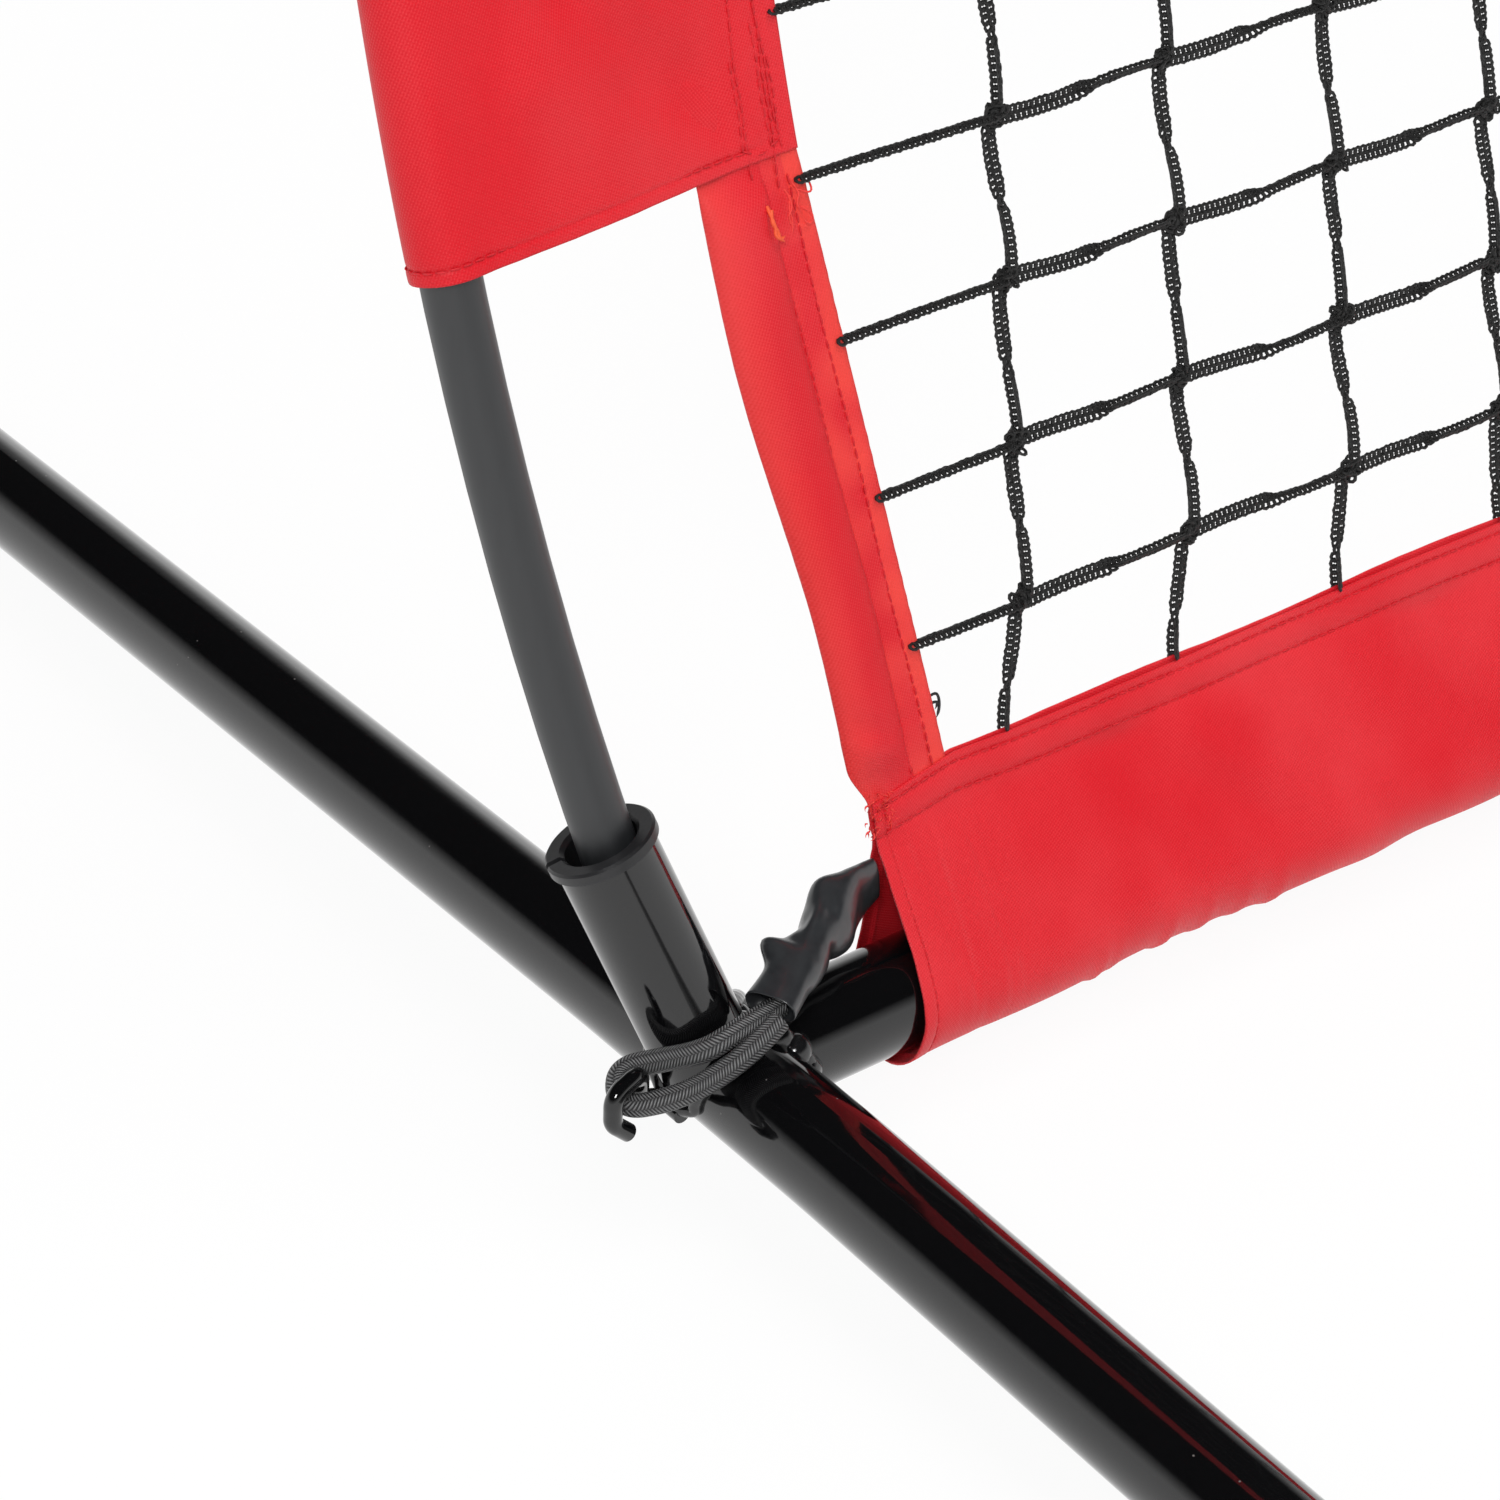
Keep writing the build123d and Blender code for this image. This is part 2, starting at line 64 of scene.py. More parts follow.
# the CAD part's own sizes in millimetres; u runs inboard from the left foot, v up the leaning frame
layout = {
    "halfSpan": 600.0, "barY": -100.0, "barZ": 28.5, "lean": math.radians(14.4), "tubeRadius": 14.0,
    "widestU": -37.8, "widestV": 248.0, "bends": [(1050.0, 42.0), (7000.0, 500.0), (20000.0, 1e6)],
    "poleHeight": 1690.0, "tipHeight": 7.0,
    "panelEdge": 96.9, "panelBottomV": 213.0, "stripTop": 30.0, "stripBottomU": (49.0, 77.0),
    "hemV": 57.0, "hemU": 50.0, "bandHeight": 60.0,
    "meshAcross": 55.0, "meshUp": 40.3, "firstRowV": 87.3,
    "socketRadius": 12.7, "socketOut": math.radians(16.6), "socketShift": -3.2,
}
leanSin, leanCos = math.sin(layout["lean"]), math.cos(layout["lean"])
span = 2 * layout["halfSpan"]
sides = ((-1, "left"), (1, "right"))


def spots(points, side=-1):
    # points (u, v, n) in the leaning frame to places in metres; side 1 gives the right-hand mirror image
    p = np.asarray(points, float).reshape(-1, 3)
    x = side * (layout["halfSpan"] - p[:, 0])
    y = layout["barY"] + p[:, 1] * leanSin - p[:, 2] * leanCos
    z = layout["barZ"] + p[:, 1] * leanCos + p[:, 2] * leanSin
    return np.stack([x, y, z], 1) * mm


def laid(base, side=-1):
    # the same for a grid of points, kept as a grid
    return spots(base, side).reshape(base.shape)


def nearJunction(points, side=-1):
    # points given from the left foot's junction, plain x, y, z
    p = np.asarray(points, float).reshape(-1, 3)
    x = side * (layout["halfSpan"] - p[:, 0])
    return np.stack([x, layout["barY"] + p[:, 1], layout["barZ"] + p[:, 2]], 1) * mm


def bow(s, inward=0.0):
    # the pole's line: u, v and its turn at a length s above its widest place
    u, v, turn, left = layout["widestU"], layout["widestV"], 0.0, s
    for radius, reach in layout["bends"]:
        length = left if left < reach else reach
        after = turn + length / radius
        u += radius * (math.cos(turn) - math.cos(after))
        v += radius * (math.sin(after) - math.sin(turn))
        turn, left = after, left - length
        if left <= 0:
            break
    return u + inward * math.cos(turn), v - inward * math.sin(turn), turn


def solve(test, low, high):
    for _ in range(50):
        middle = (low + high) / 2
        low, high = (middle, high) if test(middle) else (low, middle)
    return (low + high) / 2


tipS = solve(lambda s: bow(s)[1] < layout["poleHeight"], 0, 2 * layout["poleHeight"])
panelS = solve(lambda s: bow(s)[1] < layout["panelBottomV"], -200, 200)
topS = tipS + layout["tipHeight"] + 1.4
panelCorner = bow(panelS, layout["panelEdge"])
bandTop = bow(tipS, layout["panelEdge"])[1]
bandFoot = bandTop - layout["bandHeight"]


def edgeU(v):
    # the net-side edge of the cloth at a height v
    if v < panelCorner[1]:
        share = (v - layout["hemV"]) / (panelCorner[1] - layout["hemV"])
        return layout["stripBottomU"][1] + (panelCorner[0] - layout["stripBottomU"][1]) * share
    s = solve(lambda t: bow(t, layout["panelEdge"])[1] < v, -200, 3000)
    return bow(s, layout["panelEdge"])[0]


def placed(name, data):
    # a new object in the scene
    item = bpy.data.objects.new(name, data)
    bpy.context.scene.collection.objects.link(item)
    return item


def emptyTree(owner):
    owner.use_nodes = True
    owner.node_tree.nodes.clear()
    return owner.node_tree


class Flow:
    # one socket of a node tree, with plain arithmetic on it
    def __init__(self, tree, socket):
        self.tree, self.socket = tree, socket

    def pick(self, name):
        return Flow(self.tree, self.socket.node.outputs[name])

    def maths(self, operation, *values):
        return addNode(self.tree, "ShaderNodeMath", {"operation": operation}, list(values))

    def __add__(self, other):
        return self.maths("ADD", self, other)

    def __sub__(self, other):
        return self.maths("SUBTRACT", self, other)

    def __rsub__(self, other):
        return self.maths("SUBTRACT", other, self)

    def __mul__(self, other):
        return self.maths("MULTIPLY", self, other)

    def __truediv__(self, other):
        return self.maths("DIVIDE", self, other)

    def __gt__(self, other):
        return self.maths("GREATER_THAN", self, other)

    def __lt__(self, other):
        return self.maths("LESS_THAN", self, other)

    __radd__, __rmul__ = __add__, __mul__

    def wave(self, pitch):
        # 0 to 1 and back once for each pitch
        return self.maths("SINE", self * (2 * math.pi / pitch)) * 0.5 + 0.5

    def power(self, exponent):
        return self.maths("POWER", self, exponent)

    def within(self, low, high):
        # 0 at low, 1 at high
        return addNode(self.tree, "ShaderNodeMapRange", {"clamp": True},
                       {"Value": self, "From Min": low, "From Max": high})


def addNode(tree, kind, settings=None, values=None, out=0):
    # any node: its settings are set first, then the values or links of its sockets, by name or in order
    node = tree.nodes.new(kind)
    for key, value in (settings or {}).items():
        if key == "stops":
            ramp = node.color_ramp
            while len(ramp.elements) < len(value):
                ramp.elements.new(1.0)
            for element, (place, colour) in zip(ramp.elements, value):
                element.position = place
                element.color = (*colour, 1.0) if len(colour) == 3 else colour
        else:
            setattr(node, key, value)
    pairs = enumerate(values) if isinstance(values, (list, tuple)) else (values or {}).items()
    for key, value in pairs:
        if value is None:
            continue
        target = node.inputs[key]
        if isinstance(value, Flow):
            tree.links.new(value.socket, target)
        else:
            target.default_value = value
    return Flow(tree, node.outputs[out]) if len(node.outputs) else node


class Finish:
    # a material with one Principled shader
    def __init__(self, name, colour, roughness, **fixed):
        self.material = bpy.data.materials.new(name)
        self.tree = emptyTree(self.material)
        self.shader = addNode(self.tree, "ShaderNodeBsdfPrincipled", None, {
            "Base Color": (*colour, 1.0), "Roughness": roughness,
            **{key.replace("_", " "): value for key, value in fixed.items()},
        })
        addNode(self.tree, "ShaderNodeOutputMaterial", None, {"Surface": self.shader})
        self.place = self.add("ShaderNodeTexCoord").pick("Object")

    def add(self, kind, settings=None, values=None, out=0):
        return addNode(self.tree, kind, settings, values, out)

    def feed(self, **links):
        for key, value in links.items():
            self.tree.links.new(value.socket, self.shader.socket.node.inputs[key.replace("_", " ")])

    def noise(self, scale, detail=2.0, rough=0.5, vector=None, stretch=None):
        vector = vector or self.place
        if stretch:
            vector = self.add("ShaderNodeMapping", None, {"Vector": vector, "Scale": stretch})
        return self.add("ShaderNodeTexNoise", None, {
            "Vector": vector, "Scale": scale, "Detail": detail, "Roughness": rough})

    def blend(self, factor, first, second):
        # colours mixed by a factor
        pair = [v if isinstance(v, Flow) else (*v, 1.0) for v in (first, second)]
        node = self.add("ShaderNodeMix", {"data_type": "RGBA"}, {"Factor": factor})
        for index, value in zip((6, 7), pair):
            if isinstance(value, Flow):
                self.tree.links.new(value.socket, node.socket.node.inputs[index])
            else:
                node.socket.node.inputs[index].default_value = value
        return Flow(self.tree, node.socket.node.outputs[2])

    def bump(self, height, strength, distance):
        self.feed(Normal=self.add("ShaderNodeBump", None, {
            "Height": height, "Strength": strength, "Distance": distance}))


def setAttributes(mesh, attributes):
    # one number for each point, under each name
    for key, values in (attributes or {}).items():
        mesh.attributes.new(key, "FLOAT", "POINT").data.foreach_set("value", np.asarray(values, np.float32))


def meshPiece(name, points, faces, material, uvs=None, attributes=None):
    mesh = bpy.data.meshes.new(name)
    mesh.from_pydata([tuple(p) for p in points], [], [tuple(f) for f in faces])
    if uvs is not None:
        layer = mesh.uv_layers.new(name="UVMap")
        layer.data.foreach_set("uv", np.asarray(uvs, np.float32).ravel())
    setAttributes(mesh, attributes)
    mesh.shade_smooth()
    mesh.update()
    mesh.materials.append(material)
    return placed(name, mesh)


def gridPiece(name, rows, material, across, along, closed=False, attributes=None):
    # rows[i][j] are places in metres; across[j] and along[i] are the cloth's own measures for its weave
    rows = np.asarray(rows, float)
    count, width = rows.shape[:2]
    i, j = np.meshgrid(np.arange(count - 1), np.arange(width if closed else width - 1), indexing="ij")
    i, j = i.ravel(), j.ravel()
    nextJ = (j + 1) % width
    corners = [(i, j, j), (i, nextJ, j + 1), (i + 1, nextJ, j + 1), (i + 1, j, j)]
    faces = np.stack([a * width + b for a, b, c in corners], 1)
    uvs = np.stack([np.stack([np.asarray(across)[c], np.asarray(along)[a]], 1) for a, b, c in corners], 1)
    return meshPiece(name, rows.reshape(-1, 3), faces, material, uvs, attributes)


def done(piece, slot, *nodes):
    # the piece rides on the frame and stands for the named CAD nodes
    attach(piece, "base")
    if nodes:
        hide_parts(*nodes)
    return piece


def clothPiece(name, grid, thickness, node, wide=None, attributes=None):
    # one sheet of the red cloth; gives back the size it was cut
    rows, around, along = grid
    cloth = gridPiece(name, rows, finishes["cloth"], around, along, attributes=attributes)
    shell = cloth.modifiers.new("thickness", "SOLIDIFY")
    shell.thickness, shell.offset, shell.use_even_offset = thickness * mm, 0.0, False
    done(cloth, "red_oxford", node)
    flat = (wide or float(around[-1]), float(along[-1] - along[0]))
    return flat


def flutter(points, size, seed):
    # smooth noise at each place, -1 to 1
    found = [noise.noise(Vector((x / size + seed, y / size, z / size + 7.3 * seed)))
             for x, y, z in np.reshape(points, (-1, 3))]
    return np.reshape(found, np.shape(points)[:-1])


def smooth(low, high, value):
    t = np.clip((np.asarray(value, float) - low) / (high - low), 0, 1)
    return t * t * (3 - 2 * t)


def bell(value, place, width):
    return np.exp(-((value - place) / width) ** 2)


def grooves(value, places, width):
    # how far a row of stitches draws the cloth in
    return sum(bell(value, place, width) for place in places)


def hemRise(distance, hem, height, width):
    # a turned-under edge: raised as far as its row of stitches, drawn in along that row
    return height * (1 - smooth(hem - 0.6, hem, distance)) - 0.36 * bell(distance, hem, width)


def unit(vectors):
    return vectors / np.linalg.norm(vectors, axis=-1, keepdims=True)


def lengthsOf(line):
    # the length along a line at each of its points
    return np.concatenate([[0], np.cumsum(np.linalg.norm(np.diff(line, axis=0), axis=1))])


def onLine(at, reach, line):
    return np.stack([np.interp(at, reach, line[:, k]) for k in range(3)], 1)


def ringAngles(count):
    return np.linspace(0, 2 * math.pi, count, endpoint=False)


def skinOn(places, one, two, x, y):
    # a tube's surface: x and y, in metres, stand off each place along its two sides
    return places[:, None, :] + x[..., None] * one[:, None, :] + y[..., None] * two[:, None, :]


# the camera

view = {
    "place": (-1.12226, -0.81193, 0.70294), "lens": 109.2,
    "right": (0.80334, -0.59551, 0.00208), "up": (0.32606, 0.44276, 0.83525),
}
lens = bpy.data.cameras.new("camera")
lens.lens, lens.sensor_width, lens.clip_start, lens.clip_end = view["lens"], 36.0, 0.05, 60.0
camera = placed("camera", lens)
right, up = Vector(view["right"]).normalized(), Vector(view["up"])
back = right.cross(up).normalized()
up = back.cross(right)
camera.matrix_world = Matrix.Translation(view["place"]) @ Matrix((right, up, back)).transposed().to_4x4()
bpy.context.scene.camera = camera
print("camera set")


def glossEnamel():
    # black powder coat with a faint orange peel, dust and a few scratches
    f = Finish("glossEnamel", (0.003, 0.003, 0.0034), 0.07, IOR=1.52, Coat_Weight=0.35, Coat_Roughness=0.03)
    peel = f.noise(260.0, 2.0)
    dust = f.add("ShaderNodeTexVoronoi", {"feature": "F1"}, {"Vector": f.place, "Scale": 240.0})
    speck = (dust < 0.06) * (f.noise(33.0, 1.0) > 0.58)
    scratch = f.noise(90.0, 3.0, 0.6, stretch=(1.0, 0.04, 0.5))
    mark = scratch.within(0.735, 0.76) * (f.noise(7.0, 1.0) > 0.5)
    f.feed(Roughness=0.07 + f.noise(18.0, 3.0).within(0.4, 0.75) * 0.05 + speck * 0.5 + mark * 0.3,
           Base_Color=f.blend(speck * 0.4 + mark * 0.1, (0.003, 0.003, 0.0034), (0.32, 0.31, 0.3)))
    f.bump(peel, 0.05, 0.0004)
    return f.material


def smokedFibre():
    # satin black fibreglass, drawn lengthwise
    f = Finish("smokedFibre", (0.015, 0.016, 0.018), 0.4, IOR=1.66)
    grain = f.noise(420.0, 3.0, 0.6, stretch=(1.0, 1.0, 0.03))
    haze = f.noise(24.0, 3.0)
    f.feed(Roughness=0.36 + grain * 0.08 + haze * 0.05,
           Base_Color=f.blend(grain, (0.012, 0.013, 0.0145), (0.021, 0.0225, 0.0245)))
    f.bump(grain, 0.08, 0.0002)
    return f.material


def moulded(name, colour, roughness, scale=900.0):
    # moulded plastic or rubber with a fine spark-eroded grain
    f = Finish(name, colour, roughness, IOR=1.48)
    grain = f.noise(scale, 2.0)
    wear = f.noise(60.0, 3.0).within(0.45, 0.8)
    f.feed(Roughness=roughness + grain * 0.1 - wear * 0.06,
           Base_Color=f.blend(wear, colour, tuple(c * 1.7 for c in colour)))
    f.bump(grain, 0.12, 0.0002)
    return f.material


def zincPlate():
    f = Finish("zincPlate", (0.58, 0.58, 0.6), 0.34, Metallic=1.0)
    cloud = f.noise(70.0, 4.0)
    f.feed(Roughness=0.26 + cloud * 0.2, Base_Color=f.blend(cloud, (0.42, 0.42, 0.45), (0.68, 0.68, 0.68)))
    f.bump(f.noise(900.0, 2.0), 0.05, 0.0002)
    return f.material


def mottled(name, grain, rough, colours, relief, **fixed):
    # one noise drives the roughness, the colour between two and the relief
    f = Finish(name, colours[1], rough[0], **fixed)
    skin = f.noise(*grain)
    f.feed(Roughness=rough[0] + skin * rough[1], Base_Color=f.blend(skin, *colours))
    f.bump(skin, *relief)
    return f.material


def oxfordCloth(name, colour, deep):
    # coated oxford: paired yarns in a basket weave read from the cloth's own measures, crossed by a twill line; a
    # slanted noise paints sheen and crease shade into the colour, and the glow attribute paints light shining through
    # thin cloth
    f = Finish(name, colour, 0.46, IOR=1.4, Sheen_Weight=0.03, Sheen_Roughness=0.4)
    uv = f.add("ShaderNodeTexCoord").pick("UV")
    split = f.add("ShaderNodeSeparateXYZ", None, {"Vector": uv})
    wobble = f.noise(160.0, 2.0) * (weave["wobble"] * mm)
    across, along = split.pick("X") + wobble, split.pick("Y") - wobble
    yarn = weave["pitch"] * mm
    warp, weft = across.wave(yarn), along.wave(yarn)
    diagonal = (across + along * weave["slant"]).wave(weave["twill"] * mm)
    cross = (across * weave["slant"] - along).wave(weave["twill"] * mm * weave["crossTwill"])
    height = warp * weft * 0.3 + diagonal * 0.42 + cross * 0.28
    # painted sheen and crease shade: a slanted cloud noise moves the colour between the deep red and the paler red,
    # standing in for light falling on soft folds
    slanted = f.add("ShaderNodeMapping", None, {
        "Vector": f.place, "Rotation": (0.6, 0.25, 0.5), "Scale": (1.0, 1.0, 0.4)})
    cloud = f.noise(15.0, 3.0, 0.55, slanted)
    slub = f.noise(900.0, 2.0, 0.5)
    # glow: painted light shining through thin cloth, a lighter, more orange red where more light comes through and
    # darker where less; only the corner strips carry it
    glow = f.add("ShaderNodeAttribute", {"attribute_name": "glow"}).pick("Fac")
    shade = height * weave["contrast"] + cloud * 1.3 + slub * 0.1 + glow * 0.3
    cloth = f.blend(shade.within(*weave["range"]), deep, colour)
    f.feed(Base_Color=f.blend(glow.within(0.0, 1.4), cloth, weave["paintedBacklight"]),
           Roughness=0.52 - height * 0.14 + slub * 0.08)
    f.bump(height + slub * 0.3, 0.5, 0.00018)
    return f.material


weave = {
    "pitch": 0.62, "twill": 0.86, "crossTwill": 1.1, "slant": 0.62, "wobble": 0.35, "contrast": 0.55,
    "range": (0.7, 1.2), "paintedBacklight": (0.88, 0.06, 0.04),
}


def yarnBlack(name, colour, light, roughness=0.55):
    # knitted or braided black yarn with paler filament ends
    f = Finish(name, colour, roughness, IOR=1.5, Sheen_Weight=0.05)
    fibre = f.noise(2600.0, 2.0, 0.6)
    patch = f.noise(160.0, 2.0)
    f.feed(Base_Color=f.blend(fibre.within(0.45, 0.8) * patch, colour, light),
           Roughness=roughness + fibre * 0.15)
    f.bump(fibre, 0.4, 0.0002)
    return f.material


def braidCover():
    # the elastic cord's cover: columns of fine slanting ribs, each column slanting against the next; the colour
    # follows the relief, painted lighter on the rib crests and darker in the grooves, as painted highlight and shade
    f = Finish("braidCover", (0.02, 0.02, 0.021), 0.42, IOR=1.5)
    split = f.add("ShaderNodeSeparateXYZ", None, {"Vector": f.add("ShaderNodeTexCoord").pick("UV")})
    column = split.pick("X") * (braid["columns"] / (2 * math.pi * loop["radius"] * mm))
    inside = column.maths("FRACT", column)
    flip = 1.0 - (column - inside).maths("MODULO", column - inside, 2.0) * 2.0
    rib = (split.pick("Y") / (braid["rib"] * mm) + flip * inside * braid["slant"]).wave(1.0)
    ridge = inside.maths("PINGPONG", inside, 0.5) * 2.0
    fibre = f.noise(2600.0, 2.0)
    height = rib * (0.35 + ridge.power(0.5) * 0.65)
    # painted highlight and shade: the raised ribs are coloured toward the light grey, the grooves toward the dark
    shade = height.power(1.5) * 0.85 + fibre * 0.12 - 0.05
    f.feed(Base_Color=f.blend(shade, braid["dark"], braid["light"]),
           Roughness=0.52 - rib * 0.14)
    f.bump(height + fibre * 0.3, 0.8, 0.0003)
    return f.material


# dark is the cover's black; light is the paler grey painted on the rib crests as highlight
braid = {
    "columns": 8.0, "rib": 0.82, "slant": 1.5, "dark": (0.006, 0.006, 0.0065), "light": (0.27, 0.27, 0.275),
}
loop = {
    "radius": 3.0, "around": 48, "step": 0.4, "length": 0.0984,
    "route": [
        (7.43, -11.56, 22.93), (-8.5, -13.2, 22.0), (-15.0, -12.0, 19.5), (-22.1, -4.6, 15.7), (-31.8, 1.5, 13.6),
        (-36.6, -7.7, 9.5), (-26.9, -13.8, 11.5), (-17.0, -15.5, 13.0), (-5.6, -18.5, 19.5), (3.6, -16.4, 22.9),
    ],
}


def sewingThread(name, dark, light):
    return mottled(name, (1800.0, 2.0), (0.5, 0.2), (dark, light), (0.3, 0.0001))


finishes = {
    "enamel": glossEnamel(), "fibre": smokedFibre(),
    "plastic": moulded("mouldedPlastic", (0.012, 0.012, 0.013), 0.32),
    "rubber": moulded("capRubber", (0.018, 0.018, 0.018), 0.6, 500.0),
    "zinc": zincPlate(),
    "cloth": oxfordCloth("redOxford", (0.76, 0.034, 0.044), (0.66, 0.0008, 0.010)),
    "net": yarnBlack("netYarn", (0.006, 0.006, 0.006), (0.05, 0.048, 0.046)),
    "braid": braidCover(),
    "shrink": mottled("shrinkTube", (320.0, 3.0), (0.3, 0.14), ((0.015, 0.016, 0.018), (0.03, 0.032, 0.035)),
                      (0.12, 0.0003), IOR=1.48, Coat_Weight=0.45, Coat_Roughness=0.14),
    "weld": mottled("weldEnamel", (500.0, 3.0), (0.08, 0.12), ((0.004, 0.004, 0.0045), (0.012, 0.012, 0.013)),
                    (0.2, 0.0004), IOR=1.52, Coat_Weight=0.35, Coat_Roughness=0.05),
    "webbing": yarnBlack("webbing", (0.01, 0.01, 0.01), (0.05, 0.05, 0.05)),
    "thread": sewingThread("redThread", (0.44, 0.0012, 0.009), (0.8, 0.014, 0.024)),
    "orange": sewingThread("orangeThread", (0.75, 0.06, 0.02), (0.95, 0.14, 0.04)),
    "pale": sewingThread("frayedYarn", (0.72, 0.012, 0.02), (0.92, 0.075, 0.055)),
    "black": sewingThread("blackThread", (0.006, 0.006, 0.006), (0.03, 0.03, 0.03)),
}
print("finishes made", len(finishes))

# the elastic loops: NURBS routes with the CAD cord's own points


def routeLine(name, points):
    # a NURBS curve through the control points, and the points along it
    data = bpy.data.curves.new(name, "CURVE")
    data.dimensions, data.resolution_u = "3D", 24
    spline = data.splines.new("NURBS")
    spline.points.add(len(points) - 1)
    for control, place in zip(spline.points, points):
        control.co = (*place, 1.0)
    spline.order_u, spline.use_endpoint_u = 3, True
    line = placed(name, data)
    bpy.context.view_layer.update()
    mesh = bpy.data.meshes.new_from_object(line.evaluated_get(bpy.context.evaluated_depsgraph_get()))
    traced = np.array([tuple(v.co) for v in mesh.vertices])
    bpy.data.objects.remove(line)
    return traced


def evenly(line, step):
    # places every step along a traced line, in metres, with the length along it
    line = np.asarray(line, float)
    reach = lengthsOf(line)
    at = np.linspace(0, reach[-1], max(int(round(reach[-1] / step)), 2) + 1)
    return onLine(at, reach, line), at


def ringsAlong(line, first=(0, 0, 1)):
    # two sides square to a line at each of its places, without twist
    tangent = unit(np.gradient(line, axis=0))
    sideways = np.zeros_like(line)
    current = np.asarray(first, float)
    for k, t in enumerate(tangent):
        current = unit(current - t * (current @ t))
        sideways[k] = current
    return sideways, np.cross(tangent, sideways)


def braidedCord(name, line, cfg):
    # a round cord whose skin swells a little unevenly along its columns
    places, at = evenly(line, cfg["step"] * mm)
    one, two = ringsAlong(places)
    angle = ringAngles(cfg["around"])
    columns = 0.02 * (1 - np.abs(np.cos(angle * braid["columns"] / 2)))
    skin = cfg["radius"] * mm * (1 - columns - 0.012 * np.sin(at / mm / 2.1)[:, None])
    rows = skinOn(places, one, two, skin * np.cos(angle), skin * np.sin(angle))
    around = np.linspace(0, 2 * math.pi * cfg["radius"] * mm, cfg["around"] + 1)
    return gridPiece(name, rows, finishes["braid"], around, at, closed=True)


for side, label in sides:
    line = routeLine(label + "LoopRoute", nearJunction(loop["route"], side))
    cord = braidedCord(label + "_elastic_loop", line, loop)
    done(cord, "elastic_cord", label + "_loop_cord")
print("elastic loops", loop["length"])

# the side sleeves: cloth turned round each pole, its two layers sewn together beside the net

sideSleeve = {
    "thickness": 0.45, "pocket": 9.0, "layerGap": 0.9, "sewn": 17.8, "seams": (13.5, 6.6, 5.2), "hem": 3.5,
    "belly": 1.2, "wrinkle": 1.1, "wrinkleSize": 0.03, "fineSize": 0.006, "topRise": 3.5,
    # where the flat part is cut into quads, from its edge, and how often the slope and the pocket are
    "flats": (0, 0.7, 1.8, 3.4, 4.6, 5.2, 5.9, 6.6, 7.4, 8.8, 10.6, 12.4, 13.5, 14.6, 16.2), "cuts": (26, 18),
    "creases": [((42, 8), (20, 42), 7.0, -1.6), ((28, 28), (-14, 74), 8.0, -2.8), ((-4, 50), (-26, 80), 5.0, -1.5),
                ((62, 70), (34, 26), 8.0, 1.6), ((6, 20), (-20, 50), 9.0, 1.3), ((90, 20), (60, 70), 10.0, -1.4),
                ((140, 14), (120, 74), 12.0, -1.2), ((210, 70), (180, 20), 12.0, 1.1),
                ((300, 15), (270, 70), 13.0, -1.2)],
}


def softFolds(along, across, folds):
    # each fold runs from one place to another, with a half width and a height
    total = np.zeros(np.broadcast(along, across).shape)
    for (a0, c0), (a1, c1), width, height in folds:
        da, dc = a1 - a0, c1 - c0
        reach = math.hypot(da, dc)
        t = ((along - a0) * da + (across - c0) * dc) / reach ** 2
        away = ((along - a0) * dc - (across - c0) * da) / reach
        total += height * bell(away, 0, width) * smooth(-0.25, 0.2, t) * (1 - smooth(0.8, 1.25, t))
    return total


def outwards(section):
    # unit normals of a section that is gone round from the front edge over the outside
    run = np.gradient(section, axis=0)
    return unit(np.stack([run[:, 1], -run[:, 0]], 1))


def pocketSection(edge, start, radius, gap, flats, slope, turns):
    # front layer, round the pocket and back again: (inboard, lift) pairs; start is where the layers part
    reach = math.hypot(start, gap)
    turn = math.acos(radius / reach) + math.atan2(gap, start)
    front = [(edge - d, gap) for d in flats]
    tangent = (radius * math.cos(turn), radius * math.sin(turn))
    ramp = [(start + (tangent[0] - start) * t, gap + (tangent[1] - gap) * t) for t in np.linspace(0, 1, slope)]
    arc = [(radius * math.cos(a), radius * math.sin(a)) for a in np.linspace(turn, 2 * math.pi - turn, turns)]
    ramp, front = ramp[:-1], [p for p in front if p[0] > start + 0.1]
    half = front + ramp
    return np.array(half + arc + [(i, -n) for i, n in half[::-1]])


